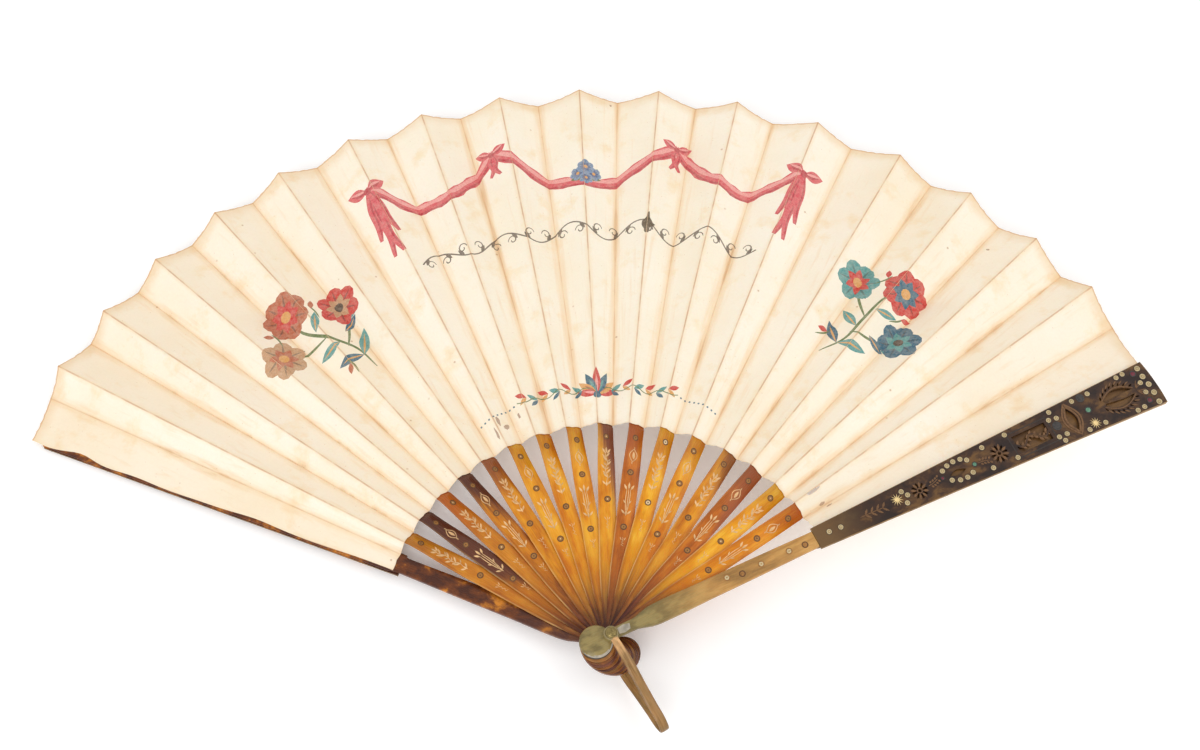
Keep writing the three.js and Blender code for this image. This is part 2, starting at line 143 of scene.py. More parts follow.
# Materials
def srgb(red, green, blue):
    return tuple(((c / 255 + 0.055) / 1.055) ** 2.4 if c > 10 else c / 255 / 12.92 for c in (red, green, blue))


def is_socket(value):
    return isinstance(value, bpy.types.NodeSocket)


class Material:
    """A node material, with a running colour that its coats are laid on."""

    def __init__(self, name, roughness, **sockets):
        self.made = bpy.data.materials.new(name)
        self.made.use_nodes = True
        self.tree = self.made.node_tree
        self.shader = self.tree.nodes["Principled BSDF"]
        self.colour = None
        for key, value in {"Roughness": roughness, **sockets}.items():
            self.shader.inputs[key.replace("_", " ")].default_value = value

    def node(self, kind, sockets=(), **settings):
        made = self.tree.nodes.new("ShaderNode" + kind)
        for key, value in settings.items():
            setattr(made, key, value)
        for key, value in dict(sockets).items():
            if is_socket(value):
                self.tree.links.new(value, made.inputs[key])
            else:
                made.inputs[key].default_value = value
        return made.outputs

    def attribute(self, name):
        return self.node("Attribute", attribute_name=name)["Vector"]

    def xyz(self, vector):
        return self.node("SeparateXYZ", {0: vector})

    def scaled(self, vector, by, shift=(0, 0, 0)):
        return self.node("VectorMath", {0: vector, 1: by, 2: shift}, operation="MULTIPLY_ADD")[0]

    def noise(self, vector, scale, detail=3.0, roughness=0.55):
        return self.node("TexNoise", {"Vector": vector, "Scale": scale, "Detail": detail, "Roughness": roughness})[0]

    def ramp(self, value, *stops):
        made = self.tree.nodes.new("ShaderNodeValToRGB")
        while len(made.color_ramp.elements) < len(stops):
            made.color_ramp.elements.new(0.5)
        for element, (place, colour) in zip(made.color_ramp.elements, stops):
            element.position = place
            element.color = (*colour, 1)
        self.tree.links.new(value, made.inputs[0])
        return made.outputs[0]

    def spread(self, value, low, high, start=0.0, end=1.0):
        return self.node("MapRange", {"Value": value, "From Min": low, "From Max": high, "To Min": start,
                                      "To Max": end}, interpolation_type="SMOOTHSTEP")[0]

    def math(self, operation, a, b=0.0):
        return self.node("Math", {0: a, 1: b}, operation=operation)[0]

    def plus(self, a, b):
        return self.math("ADD", a, b)

    def times(self, a, *others):
        for b in others:
            a = self.math("MULTIPLY", a, b)
        return a

    def mixed(self, share, a, b, kind="MIX"):
        a, b = (c if is_socket(c) else (*c, 1) for c in (a, b))
        return self.node("Mix", {0: share, 6: a, 7: b}, data_type="RGBA", blend_type=kind)[2]

    def lay(self, share, coat):
        self.colour = self.mixed(share, self.colour, coat)

    def darken(self, share, coat):
        self.colour = self.mixed(share, self.colour, coat, "MULTIPLY")

    def finished(self, height, depth, strength=0.6, rough=None):
        """Feeds the shader: the running colour, a bump and, where it varies, the roughness."""
        bump = self.node("Bump", {"Height": height, "Distance": depth * MM, "Strength": strength})[0]
        for key, value in (("Base Color", self.colour), ("Roughness", rough), ("Normal", bump)):
            if value:
                self.tree.links.new(value, self.shader.inputs[key])
        return self.made


# how far, in millimetres, the grain and the clouds shift the ends of a tone
GRAIN_REACH, CLOUD_REACH = 26.0, 40.0


def horn_material(name, tones, head, seed, roughness=0.24, head_from=4.0, head_to=34.0, streaks=0.32, glow=0.12,
                  top=None, rim=0.0, dusk=0.0):
    """Translucent horn: tones from dark to light along its grain, the head's colour near the rivet and, where
    top holds (colour, from, to, lean), another colour beyond that length, sooner on the side that lean gives. A
    piece of half width rim gets painted shade along its edges, and dusk is the strength of dark streaks just
    beyond the head; where dusk is set, one edge also gets a painted highlight and the far end gets the painted
    shadow of the leaf."""
    m = Material(name, roughness, Coat_Weight=0.06, Coat_Roughness=0.12, Specular_IOR_Level=0.28,
                 Subsurface_Weight=glow, Subsurface_Scale=0.002)
    place = m.attribute("piece")
    across, along, _ = m.xyz(place)
    cloud = m.noise(m.scaled(place, (0.18, 0.05, 0.1), (seed, seed * 1.7, 0)), 1.0, 4.0, 0.6)
    grain = m.noise(m.scaled(place, (1.5, 0.05, 0.3), (seed * 2, 0, seed)), 1.0, 5.0, 0.65)
    m.colour = m.ramp(cloud, *zip((0.34, 0.5, 0.64), tones))
    dark = m.mixed(1.0, m.colour, (0.42, 0.30, 0.24), "MULTIPLY")
    m.lay(m.times(m.spread(grain, 0.48, 0.72), streaks), dark)
    reach = m.plus(along, m.times(grain, GRAIN_REACH))
    shift = GRAIN_REACH / 2
    if top:
        colour, top_from, top_to, lean = top
        m.lay(m.spread(m.plus(reach, m.times(across, lean)), top_from + shift, top_to + shift), colour)
    patches = m.noise(m.scaled(place, (0.3, 0.16, 0.2), (seed, 0, 3)), 1.0)
    patchy = m.mixed(m.spread(patches, 0.4, 0.62), tuple(c * 0.78 for c in head), tuple(c * 1.3 for c in head))
    m.colour = m.mixed(m.spread(reach, head_from + shift, head_to + shift), patchy, m.colour)
    if rim:
        m.darken(m.times(m.spread(along, 0.0, 7.0), m.spread(reach, 62.0, 22.0, 0.0, dusk),
                         m.spread(cloud, 0.4, 0.58, 0.2, 1.0)), (0.4, 0.25, 0.34))
        # painted shade along the edges, strongest near the head
        m.darken(m.times(m.spread(m.math("ABSOLUTE", across), rim * 0.45, rim), m.spread(along, -3.0, 4.0, 0.25, 1.0),
                         m.spread(along, 12.0, 62.0, 0.75, 0.22)), (0.42, 0.24, 0.24))
    if dusk:
        # a painted highlight along one edge, beyond the head
        m.lay(m.times(m.spread(across, rim * -0.8, rim * -0.96), m.spread(along, 14.0, 24.0),
                      m.spread(along, 40.0, 74.0, 0.5, 0.12), m.spread(grain, 0.36, 0.6, 0.25, 1.0)),
              srgb(240, 196, 128))
        # painted shadow of the leaf over the far end
        m.darken(m.spread(along, 70.0, 88.0), (0.76, 0.76, 0.84))
    fine = m.noise(m.scaled(place, (3.0, 0.25, 1.0)), 1.0, 4.0)
    return m.finished(fine, 0.03, rough=m.spread(fine, 0.3, 0.75, roughness - 0.06, roughness + 0.14))


def shell_material(name, tones, root, scale=0.11, roughness=0.22):
    """Dark polished shell, mottled in clouds. root holds (colour, from, to, share): that share of a colour shows
    up to there."""
    m = Material(name, roughness, Coat_Weight=0.1, Coat_Roughness=0.2, Specular_IOR_Level=0.3)
    place = m.attribute("piece")
    warp = m.noise(m.scaled(place, (0.2, 0.12, 0.2)), 1.0, 3.0)
    bent_place = m.scaled(place, (scale * 1.6, scale, scale), (3.1, 7.7, 0))
    cloud = m.noise(m.node("VectorMath", {0: bent_place, 1: warp}, operation="ADD")[0], 1.0, 5.0, 0.6)
    m.colour = m.ramp(cloud, *zip((0.38, 0.52, 0.66), tones))
    colour, root_from, root_to, share = root
    reach = m.plus(m.xyz(place)[1], m.times(cloud, CLOUD_REACH))
    m.lay(m.spread(reach, root_from + CLOUD_REACH / 2, root_to + CLOUD_REACH / 2, share, 0.0), colour)
    fine = m.noise(m.scaled(place, (2.2, 0.5, 1.0)), 1.0, 4.0)
    return m.finished(fine, 0.04, rough=m.spread(fine, 0.3, 0.75, roughness - 0.04, roughness + 0.16))


def trim_material(name, colour, roughness, metal=0.0, vary=0.35, scale=1.4):
    """Small trim: one colour, stained and worn unevenly."""
    m = Material(name, roughness, Metallic=metal)
    place = m.attribute("piece")
    stain = m.noise(place, scale, 3.0)
    m.colour = m.ramp(stain, (0.35, tuple(c * (1 - vary) for c in srgb(*colour))), (0.6, srgb(*colour)))
    return m.finished(m.noise(place, 5.0, 3.0), 0.02, rough=m.spread(stain, 0.3, 0.7, roughness + 0.15, roughness))


def tones(*colours):
    return [srgb(*colour) for colour in colours]


TONES = {
    "orange": tones((190, 102, 14), (214, 130, 16), (230, 154, 28)),
    "yellow": tones((206, 122, 14), (226, 152, 22), (240, 182, 52)),
    "amber": tones((182, 100, 18), (214, 138, 26), (230, 162, 44)),
    "gold": tones((198, 112, 16), (222, 146, 28), (236, 172, 48)),
    "tawny": tones((170, 94, 26), (196, 122, 32), (214, 142, 44)),
    "red": tones((146, 74, 22), (186, 102, 26), (210, 126, 34)),
    "brown": tones((146, 80, 24), (192, 114, 24), (214, 140, 34)),
}
STICK_TONES = ["orange", "brown", "red", "brown", "amber", "orange", "orange", "yellow", "brown", "red", "yellow",
               "yellow", "amber", "red", "yellow", "orange"]
STICK_LOOKS = {1: "tawny", 3: "tawny", 6: "gold", 7: "gold", 8: "gold", 9: "gold", 12: "gold"}
STICK_TOPS = {k: (srgb(*colour), low, high, lean) for k, colour, low, high, lean in (
    (2, (98, 54, 36), 34, 50, 1), (3, (198, 104, 30), 66, 86, 0), (4, (104, 58, 38), 60, 80, 2),
    (5, (160, 90, 44), 68, 86, 0), (9, (136, 78, 50), 62, 84, 6), (10, (180, 90, 30), 70, 92, -2),
    (13, (156, 94, 44), 74, 90, 3), (14, (160, 84, 38), 60, 82, 3), (16, (190, 92, 20), 74, 92, 0))}
HEAD_TONES = tones((130, 80, 40), (150, 102, 50), (92, 52, 38), (138, 86, 38), (112, 68, 50))
# the pale grey trim (178, 168, 150) is a painted highlight on a guard's dome and a patch of wear on its neck; the dark
# disc trim also paints the band of shade under that highlight
TRIM = {name: trim_material(name, *look) for name, *look in (
    ("engraved_line", (232, 188, 132), 0.5, 0.0, 0.34, 0.5), ("stud_ring", (104, 66, 30), 0.35, 0.15),
    ("stud_face", (166, 114, 54), 0.3, 0.15), ("stud_dot", (232, 204, 158), 0.3, 0.15),
    ("highlight_and_wear_patch", (178, 168, 150), 0.3, 0.0, 0.45, 0.45), ("edge_horn", (140, 106, 58), 0.4, 0.0, 0.4, 0.25),
    ("gold_leaf", (242, 212, 148), 0.35, 0.2, 0.15), ("turquoise", (92, 142, 112), 0.3, 0.0, 0.3),
    ("ruby", (112, 26, 44), 0.2, 0.0, 0.4), ("dark_disc", (66, 62, 60), 0.35, 0.3),
    ("bronze_line", (120, 84, 50), 0.4, 0.2), ("ivory_stud", (206, 186, 142), 0.4, 0.0, 0.3),
    ("ivory_face", (172, 148, 104), 0.4, 0.0, 0.3), ("dark_rim", (46, 34, 26), 0.4),
    ("rivet_steel", (150, 132, 84), 0.3, 0.85, 0.4, 2.0), ("eye_horn", (150, 134, 92), 0.3, 0.0, 0.3, 0.5))}


# Outlines
def turned_outline(outline, x, y, turn=0.0, size=1.0):
    c, s = math.cos(turn), math.sin(turn)
    return [(x + (px * c - py * s) * size, y + (px * s + py * c) * size) for px, py in outline]


def pointed_oval(half_length, half_width, steps=6):
    """A pointed oval along +Y."""
    side = [(half_width * math.sin(math.pi * i / steps), half_length * (1 - 2 * i / steps)) for i in range(steps + 1)]
    return side + [(-x, y) for x, y in side[-2:0:-1]]


def stroke_outline(path, widths):
    """Outline of a line with a width at each of its points."""
    p = np.array(path, float)
    ahead = np.gradient(p, axis=0)
    ahead /= np.linalg.norm(ahead, axis=1)[:, None] + 1e-9
    side = np.column_stack([-ahead[:, 1], ahead[:, 0]]) * (np.array(widths, float) / 2)[:, None]
    return [tuple(v) for v in p + side] + [tuple(v) for v in (p - side)[::-1]]


def circle(radius, steps):
    return [(radius * math.cos(2 * math.pi * i / steps), radius * math.sin(2 * math.pi * i / steps))
            for i in range(steps)]


def bent(x0, y0, x1, y1, bow, steps=8):
    """A bowed line between two points."""
    return [(mix(x0, x1, i / steps) + bow * math.sin(math.pi * i / steps), mix(y0, y1, i / steps))
            for i in range(steps + 1)]


def round_place(x, y, out, share):
    """A place at a share of the turn round (x, y), and the turn of a mark there that points away from it."""
    turn = share * 2 * math.pi
    return x + out * math.cos(turn), y + out * math.sin(turn), turn - math.pi / 2


# Meshes
SECTION = 14
SUNK = -0.05
LINE = 0.3
ENGRAVED = 0.05


class Shape:
    """Closed forms gathered into one mesh. Each point also keeps its place on its own piece. Marks are laid on a
    face by carry(x, along, up)."""

    def __init__(self, carry=None):
        self.points, self.own, self.faces, self.finishes = [], [], [], []
        self.carry = carry

    def add(self, points, faces, finish=0, own=None):
        start = len(self.points)
        self.points += [tuple(p) for p in points]
        self.own += [tuple(p) for p in (points if own is None else own)]
        self.faces += [tuple(start + i for i in face) for face in faces]
        self.finishes += [finish] * len(faces)

    def plate(self, outline, finish, high, low=SUNK, strip=False):
        """A plate with this outline. That of a line is capped strip by strip."""
        n = len(outline)
        faces = [(i, (i + 1) % n, n + (i + 1) % n, n + i) for i in range(n)]
        if strip:
            for i in range(n // 2 - 1):
                faces += [(i, i + 1, n - 2 - i, n - 1 - i), (n + i, 2 * n - 1 - i, 2 * n - 2 - i, n + i + 1)]
        else:
            faces += [tuple(range(n))[::-1], tuple(range(n, 2 * n))]
        self.add([self.carry(x, y, z) for z in (low, high) for x, y in outline], faces, finish)

    def mark(self, half_length, half_width, steps, x, y, turn, finish=0, high=ENGRAVED, low=SUNK):
        self.plate(turned_outline(pointed_oval(half_length, half_width, steps), x, y, turn), finish, high, low)

    def leaflets(self, *rows):
        for x, y, turn, length, width in rows:
            self.mark(length / 2, width / 2, 5, x, y, turn)

    def line(self, path, finish=0, width=LINE, taper=0.4, high=ENGRAVED):
        last = len(path) - 1
        widths = [width * (1 - taper * abs(2 * i / last - 1) ** 3) for i in range(last + 1)]
        self.plate(stroke_outline(path, widths), finish, high, strip=True)

    def ring(self, outline, finish=0, width=LINE, high=ENGRAVED):
        self.line(outline + outline[:1], finish, width, 0, high)

    def stud(self, x, y, radius, rim, face, dot, height):
        """A small turned stud: a raised ring, a face inside it and a dot in the middle."""
        for profile, finish in (([(1.0, -0.3), (1.0, 0.55), (0.9, 1.0), (0.74, 0.9), (0.66, 0.3)], rim),
                                ([(0.7, -0.2), (0.7, 0.35), (0.45, 0.62), (0.2, 0.75)], face),
                                ([(0.22, 0.3), (0.22, 0.85), (0.12, 1.0)], dot)):
            if finish is not None:
                turned = [(out * radius, up * height) for out, up in profile]
                tip = turned[-1][1] + (0.02 if finish != rim else 0)
                points, faces = lathe([(0, turned[0][1])] + turned + [(0, tip)], 18)
                self.add([self.carry(x + px, y + py, pz) for px, py, pz in points], faces, finish)


def ring_faces(count):
    """Faces of a bar made of rings, with both its ends."""
    faces = [(ring + c, ring + (c + 1) % SECTION, ring + SECTION + (c + 1) % SECTION, ring + SECTION + c)
             for ring in range(0, (count - 1) * SECTION, SECTION) for c in range(SECTION)]
    return faces + [tuple(range(SECTION))[::-1], tuple((count - 1) * SECTION + c for c in range(SECTION))]


def rounded_section(half, under, top, rounding):
    """Points round a bar: three on each rounded corner, and one in the middle of its top and of its underside."""
    r = min(rounding, half * 0.9, (top - under) * 0.45)
    points = []
    for x, z, start in ((half - r, top - r, 0), (r - half, top - r, 90), (r - half, under + r, 180),
                        (half - r, under + r, 270)):
        for step in range(3):
            turn = math.radians(start + 45 * step)
            points.append((x + r * math.cos(turn), z + r * math.sin(turn)))
        if start in (0, 180):
            points.append((0, points[-1][1]))
    return points


def oval_section(half, thick):
    """Points round a flat bar with swelling faces."""
    points = []
    for step in range(SECTION):
        turn = 2 * math.pi * (step + 0.5) / SECTION
        c, s = math.cos(turn), math.sin(turn)
        points.append((half * math.copysign(abs(c) ** 0.6, c), thick * math.copysign(abs(s) ** 0.8, s)))
    return points


def bar_rings(stations):
    """Rings of a bar along +Y from stations of (along, half, under, top, twist, rounding)."""
    rings = []
    for along, half, under, top, twist, rounding in stations:
        for x, z in rounded_section(half, under, top, rounding):
            rings.append((x * math.cos(twist) + z * math.sin(twist), along, z * math.cos(twist) - x * math.sin(twist)))
    return rings


def lathe(profile, steps=40):
    """A closed form turned about Z from (radius, height) pairs that start and end on the axis."""
    points = [(0, 0, profile[0][1])]
    for radius, height in profile[1:-1]:
        points += [(x, y, height) for x, y in circle(radius, steps)]
    points.append((0, 0, profile[-1][1]))
    last = len(points) - 1
    pairs = [(c, (c + 1) % steps) for c in range(steps)]
    faces = [(ring + c, ring + n, ring + steps + n, ring + steps + c)
             for ring in range(1, last - steps, steps) for c, n in pairs]
    for c, n in pairs:
        faces += [(0, 1 + n, 1 + c), (last, last - steps + c, last - steps + n)]
    return points, faces


def rotated(points, turn, height):
    c, s = math.cos(turn), math.sin(turn)
    return np.column_stack([points[:, 0] * c - points[:, 1] * s, points[:, 0] * s + points[:, 1] * c,
                            points[:, 2] + height])


def on_level(points, level, flip=False):
    """From a piece's own place, with +Y out along it, to its place in the fan."""
    return rotated(points * [-1, 1, -1] if flip else points, ANGLES[level] - math.pi / 2, level_height(level))


def mesh_object(name, points, faces, finishes, sharp, attributes, turn_out=False):
    """One object of the scene, from points in millimetres. Edges over an angle in degrees are sharp."""
    mesh = bpy.data.meshes.new(name)
    mesh.from_pydata([tuple(p) for p in points * MM], [], faces)
    for finish in finishes:
        mesh.materials.append(finish)
    for key, data in attributes.items():
        made = mesh.attributes.new(key, "FLOAT_VECTOR", "POINT")
        made.data.foreach_set("vector", np.array(data, np.float32).ravel())
    if turn_out:
        form = bmesh.new()
        form.from_mesh(mesh)
        bmesh.ops.recalc_face_normals(form, faces=form.faces)
        form.to_mesh(mesh)
        form.free()
    mesh.polygons.foreach_set("use_smooth", [True] * len(mesh.polygons))
    mesh.set_sharp_from_angle(angle=math.radians(sharp))
    return placed(name, mesh)


def piece(name, shape, body, finishes, place, replaces=(), sharp=35.0):
    """A piece that rides on a body, brought by place from its own place to the fan's."""
    points = place(np.array(shape.points, float))
    obj = mesh_object(name, points, shape.faces, finishes, sharp, {"piece": shape.own}, True)
    obj.data.polygons.foreach_set("material_index", shape.finishes)
    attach(obj, body)
    if replaces:
        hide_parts(*replaces)


# Sticks
def lobe_radius(level):
    share = abs(level - LAST / 2) * PITCH / RIVET_HALF
    return LOBE_RADIUS * (1 - share ** 3) ** (1 / 3)


WAIST_PLACES = np.array([0.03, 0.09, 0.13, 0.2, 0.32, 0.5]) * GORGE_RADIUS
WAIST_WIDTHS = np.array([0.63, 0.63, 0.72, 0.88, 1.0, 1.0]) * STICK_WIDTH / 2
LOBE_SHARES = [0.985, 0.96, 0.93, 0.89, 0.84, 0.78, 0.71, 0.64, 0.57, 0.5, 0.43, 0.36, 0.29, 0.23, 0.17, 0.12]
BLADE_ROUNDING, RIB_ROUNDING = 0.16, 0.08


def stick_half(along):
    return float(np.mean([np.interp(along + shift, WAIST_PLACES, WAIST_WIDTHS) for shift in (-3, -1.5, 0, 1.5, 3)]))


def stick_thickness(along):
    return mix(HEAD_THICKNESS, STICK_THICKNESS, smooth(along, 0, GORGE_RADIUS * 0.5))


def stick_twist(along):
    return TILT * smooth(along, GORGE_RADIUS * 0.66, GORGE_RADIUS * 0.96)


def stick_stations(level):
    radius = lobe_radius(level)
    blade = [(radius * math.cos(share * math.pi) - LOBE_OFFSET, radius * math.sin(share * math.pi), HEAD_THICKNESS, 0)
             for share in LOBE_SHARES]
    for along in np.append(np.arange(2.7, 55.0, 1.6), np.arange(55.5, GORGE_RADIUS * 0.975, 0.8)):
        blade.append((along, stick_half(along), stick_thickness(along), stick_twist(along)))
    blade.append((GORGE_RADIUS * 0.985, STICK_WIDTH / 2, STICK_THICKNESS, TILT))
    rib = [(GORGE_RADIUS - 0.25, STICK_WIDTH, -0.03), (GORGE_RADIUS + 0.35, STICK_WIDTH, 0),
           (GORGE_RADIUS + 1.0, RIB_ROOT, 0)]
    for along in np.linspace(100, RIB_LENGTH - 2, 12):
        rib.append((along, mix(RIB_ROOT, RIB_TIP, (along - GORGE_RADIUS) / (RIB_LENGTH - GORGE_RADIUS)), 0))
    for share in (0.45, 0.8, 0.97):
        rib.append((RIB_LENGTH - 1.4 + 1.4 * share, RIB_TIP * math.sqrt(1 - share * share * 0.95), 0))
    return [(along, half, -thick / 2, thick / 2, twist, BLADE_ROUNDING) for along, half, thick, twist in blade] + [
        (along, width / 2, -LEAF_SEAT - RIB_THICKNESS, up - LEAF_SEAT, TILT, RIB_ROUNDING) for along, width, up in rib]


def on_blade(x, along, up):
    """A point of a stick's front face, raised by up."""
    twist = stick_twist(along)
    z = stick_thickness(along) / 2 + up
    return (x * math.cos(twist) + z * math.sin(twist), along, z * math.cos(twist) - x * math.sin(twist))


def sheaf(trim, low, high):
    """An engraved sheaf: a pair of long stems between three prongs at one end and three leaves at the other."""
    for side in (-1, 1):
        trim.line(bent(side * 0.3, low + 1.8, side * 0.75, high - 2.6, side * 0.25))
        trim.leaflets((side * 1.35, high - 1.5, -side * 0.5, 2.6, 0.8), (side * 1.2, low + 1.3, side * 2.4, 2.3, 0.7),
                      (side * 1.15, mix(low, high, 0.42), -side * 0.5, 1.8, 0.42))
    trim.line(bent(0, low + 2, 0, high - 2, 0.1))
    trim.leaflets((0, high - 0.9, 0, 3.0, 0.8), (0, low + 0.9, 0, 2.4, 0.7))


def tall_sprig(trim, low, high):
    """An engraved sprig: a swaying stem with leaflets by turns, a bud at its foot and prongs at its top."""
    n = 14
    stem = [(0.45 * math.sin(i * 0.85), mix(low + 2.4, high - 2, i / n)) for i in range(n + 1)]
    trim.line(stem)
    for i in range(2, n, 2):
        side = 1 if i % 4 == 0 else -1
        x, y = stem[i]
        trim.leaflets((x + side * 0.95, y + 0.8, -side * 0.7, 2.6, 0.75),
                      (x - side * 0.8, y + 0.2, side * 0.8, 1.7, 0.45))
    for side in (-1, 0, 1):
        trim.leaflets((side * 1.1, high - 0.9 - 0.4 * abs(side), -side * 0.6, 2.6, 0.8),
                      (side * 1.0, low + 1.3 + 0.4 * abs(side), -side * 0.7, 2.2, 0.7))


def seed_oval(trim, y):
    """An engraved pointed oval with a leaf in it and a short stroke at each end."""
    trim.ring(turned_outline(pointed_oval(2.7, 1.6, 9), 0, y))
    trim.leaflets((0.15, y, 0.1, 3.4, 1.2), *((0.2 * end, y + end * 3.2, 0.2, 1.2, 0.4) for end in (-1, 1)))


def squiggle(trim, low, high):
    """A few light zigzag strokes on the neck."""
    trim.line([(0.5 * (-1) ** i * (1 - i / 9), mix(low, high, i / 7)) for i in range(8)], width=0.22)
    trim.leaflets(*((side * 0.8, high - 0.6, -side * 0.5, 1.5, 0.3) for side in (-1, 1)))


# low enough for the next stick to close over them
STUD_HEIGHT = 0.09
PALE_STUD_STICK = 11
EVEN_STUDS, ODD_STUDS = (45.3, 68.3, 83.3), (56.8, 83.6)
STICK_STUD_FINISHES = [TRIM[key] for key in ("stud_ring", "stud_face", "stud_dot")]

for k in range(1, LAST):
    seat = lambda p, k=k: on_level(p, k)
    horn = horn_material(f"horn_{k:02d}", TONES[STICK_LOOKS.get(k, STICK_TONES[k - 1])], HEAD_TONES[k % 5], 3.7 * k,
                         top=STICK_TOPS.get(k), rim=STICK_WIDTH / 2,
                         dusk=1.0 if k < 5 else 0.45 if k < 11 else 0.85)
    stations = stick_stations(k)
    # the grain runs straight on through waist and twist
    widened = [(y, STICK_WIDTH / 2, low, high, 0, r) for y, _, low, high, _, r in stations]
    shape = Shape()
    shape.add(bar_rings(stations), ring_faces(len(stations)), 0, bar_rings(widened))
    piece(f"stick_{k:02d}_horn", shape, BODIES[k], [horn], seat, [f"stick_{k:02d}"])
    trim = Shape(on_blade)
    if k % 2 == 0:
        seed_oval(trim, 75.6)
        sheaf(trim, 50.2, 63.4)
        squiggle(trim, 37.5, 41.0)
    else:
        tall_sprig(trim, 62.0, 78.6)
        squiggle(trim, 44.5, 49.5)
    piece(f"stick_{k:02d}_engraving", trim, BODIES[k], [TRIM["engraved_line"]], seat)
    studs = Shape(on_blade)
    for i, y in enumerate(EVEN_STUDS if k % 2 == 0 else ODD_STUDS):
        studs.stud(0.25 * math.sin(k * 2.3 + i), y, 1.3, 0, 2 if k == PALE_STUD_STICK else 1, 0 if k % 3 else 2,
                   STUD_HEIGHT)
    piece(f"stick_{k:02d}_studs", studs, BODIES[k], STICK_STUD_FINISHES, seat)


# Guards
HEAD_PLATE = GORGE_RADIUS * 0.13
HORN_PLACES = np.array([-0.015, 0.115, 0.14, 0.175, 0.21, 0.3, 0.44, 0.62, 0.97]) * GORGE_RADIUS
HORN_HALVES = np.array([0.5, 0.52, 0.66, 0.9, 0.99, 1.0, 0.93, 0.91, SHOULDER_WIDTH / HORN_WIDTH]) * HORN_WIDTH / 2


def leaf_top(along):
    return LEAF_SEAT + SLOPE * along


def guard_seat(along):
    if along <= HEAD_PLATE:
        return -HEAD_THICKNESS / 2
    if along < GORGE_RADIUS:
        share = (along - HEAD_PLATE) / (GORGE_RADIUS - HEAD_PLATE)
        return mix(-HEAD_THICKNESS / 2, leaf_top(GORGE_RADIUS), share)
    return leaf_top(along)


def horn_half(along):
    return float(np.mean([np.interp(along + shift, HORN_PLACES, HORN_HALVES) for shift in (-0.8, 0, 0.8)]))


def plaque_half(along):
    return mix(PLAQUE_ROOT, PLAQUE_TIP, (along - PLAQUE_START) / (GUARD_LENGTH - PLAQUE_START)) / 2


def on_horn(x, along, up):
    return (x, along, guard_seat(along) + HORN_THICKNESS + up)


def on_plaque(x, along, up):
    lean = math.atan(SLOPE)
    z = PLAQUE_THICKNESS + up
    return (x, along * math.cos(lean) - z * math.sin(lean), along * math.sin(lean) + z * math.cos(lean) + PLAQUE_LIFT)


def guard_shape():
    """A guard's horn with its finishes: horn, core, a pale finish for the painted highlight crescent on the dome and
    for the patch of wear on the neck, and a dark finish for the painted band of shade beneath that highlight.
    """
    shape = Shape(on_horn)
    end = PLAQUE_START - GLUE - 0.12
    stations = [(along, horn_half(along), guard_seat(along), guard_seat(along) + HORN_THICKNESS, 0, 0.5)
                for along in np.append(np.arange(-1.3, end - 0.8, 1.3), end)]
    shape.add(bar_rings(stations), ring_faces(len(stations)), 0)
    stations = []
    for along in np.append(np.arange(end - 1.0, GUARD_LENGTH - 2, 6.0), GUARD_LENGTH - PLAQUE_OVERHANG):
        half = SHOULDER_WIDTH / 2 if along < PLAQUE_START else plaque_half(along) - PLAQUE_OVERHANG
        stations.append((along, half, guard_seat(along), guard_seat(along) + CORE_THICKNESS, 0, 0.15))
    shape.add(bar_rings(stations), ring_faces(len(stations)), 1)
    base = -HEAD_THICKNESS / 2
    radius = lobe_radius(LAST)
    profile = [(0, base), (radius * 0.98, base), (radius, base + 0.15), (radius, base + DOME_RIM * 0.8)]
    for step in range(1, 12):
        turn = step / 12 * math.pi / 2
        profile.append((radius * 0.985 * math.cos(turn), base + DOME_RIM + (DOME_HEIGHT - DOME_RIM) * math.sin(turn)))
    points, faces = lathe(profile + [(0, base + DOME_HEIGHT)], 56)
    points = [(x, y - LOBE_OFFSET, z) for x, y, z in points]
    shape.add(points, faces, 0)
    # a painted highlight crescent on the dome's side towards +X, with a painted band of shade under it along the rim
    highlight_top = base + mix(DOME_RIM, DOME_HEIGHT, 0.52)
    for i, face in enumerate(faces):
        x, y, z = np.mean([points[c] for c in face], 0)
        facing = math.cos(math.atan2(y + LOBE_OFFSET, x))
        if facing > 0.35 and z < mix(base + DOME_RIM * 1.15, highlight_top, facing):
            shape.finishes[i - len(faces)] = 2 if z > base + DOME_RIM * 1.1 else 3
    shape.add(*lathe([(0, base), (BOSS_RADIUS, base), (BOSS_RADIUS, base + BOSS_HEIGHT - 0.25),
                      (BOSS_RADIUS - 0.25, base + BOSS_HEIGHT), (0, base + BOSS_HEIGHT)]), 0)
    # a pale patch of wear on the neck beside the rivet
    shape.plate([(-1.1, 3.1), (1.2, 3.0), (1.6, 5.4), (1.0, 7.6), (-0.9, 8.1), (-1.5, 5.6)], 2, 0.07)
    return shape


# Pierced work of a plaque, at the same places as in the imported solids
def place_on(share):
    return mix(PLAQUE_START, GUARD_LENGTH, share)


PLAQUE_FLOWERS = ((0.294, -0.04, 0.62), (0.527, -0.02, 0.56))
SLIT, EYE = place_on(0.406), place_on(0.746)
WINDOW_START, WINDOW_END = place_on(0.578), place_on(0.674)
WREATH = place_on(0.888)
WREATH_LONG, WREATH_WIDE = plaque_half(WREATH) * 0.92, plaque_half(WREATH) * 0.42


def plaque_flower(place, side, size):
    """The middle of a flower on the plaque, and its radius."""
    y = place_on(place)
    return -plaque_half(y) * side, y, plaque_half(y) * size


def on_wreath(share):
    return WREATH + mix(-WREATH_LONG, WREATH_LONG, share)


def wreath_leaf(side, share, beyond):
    out = WREATH_WIDE * (math.sin(math.pi * share) * 1.05 + beyond)
    return side * out, on_wreath(share), -side * math.radians(mix(66, 9, share))


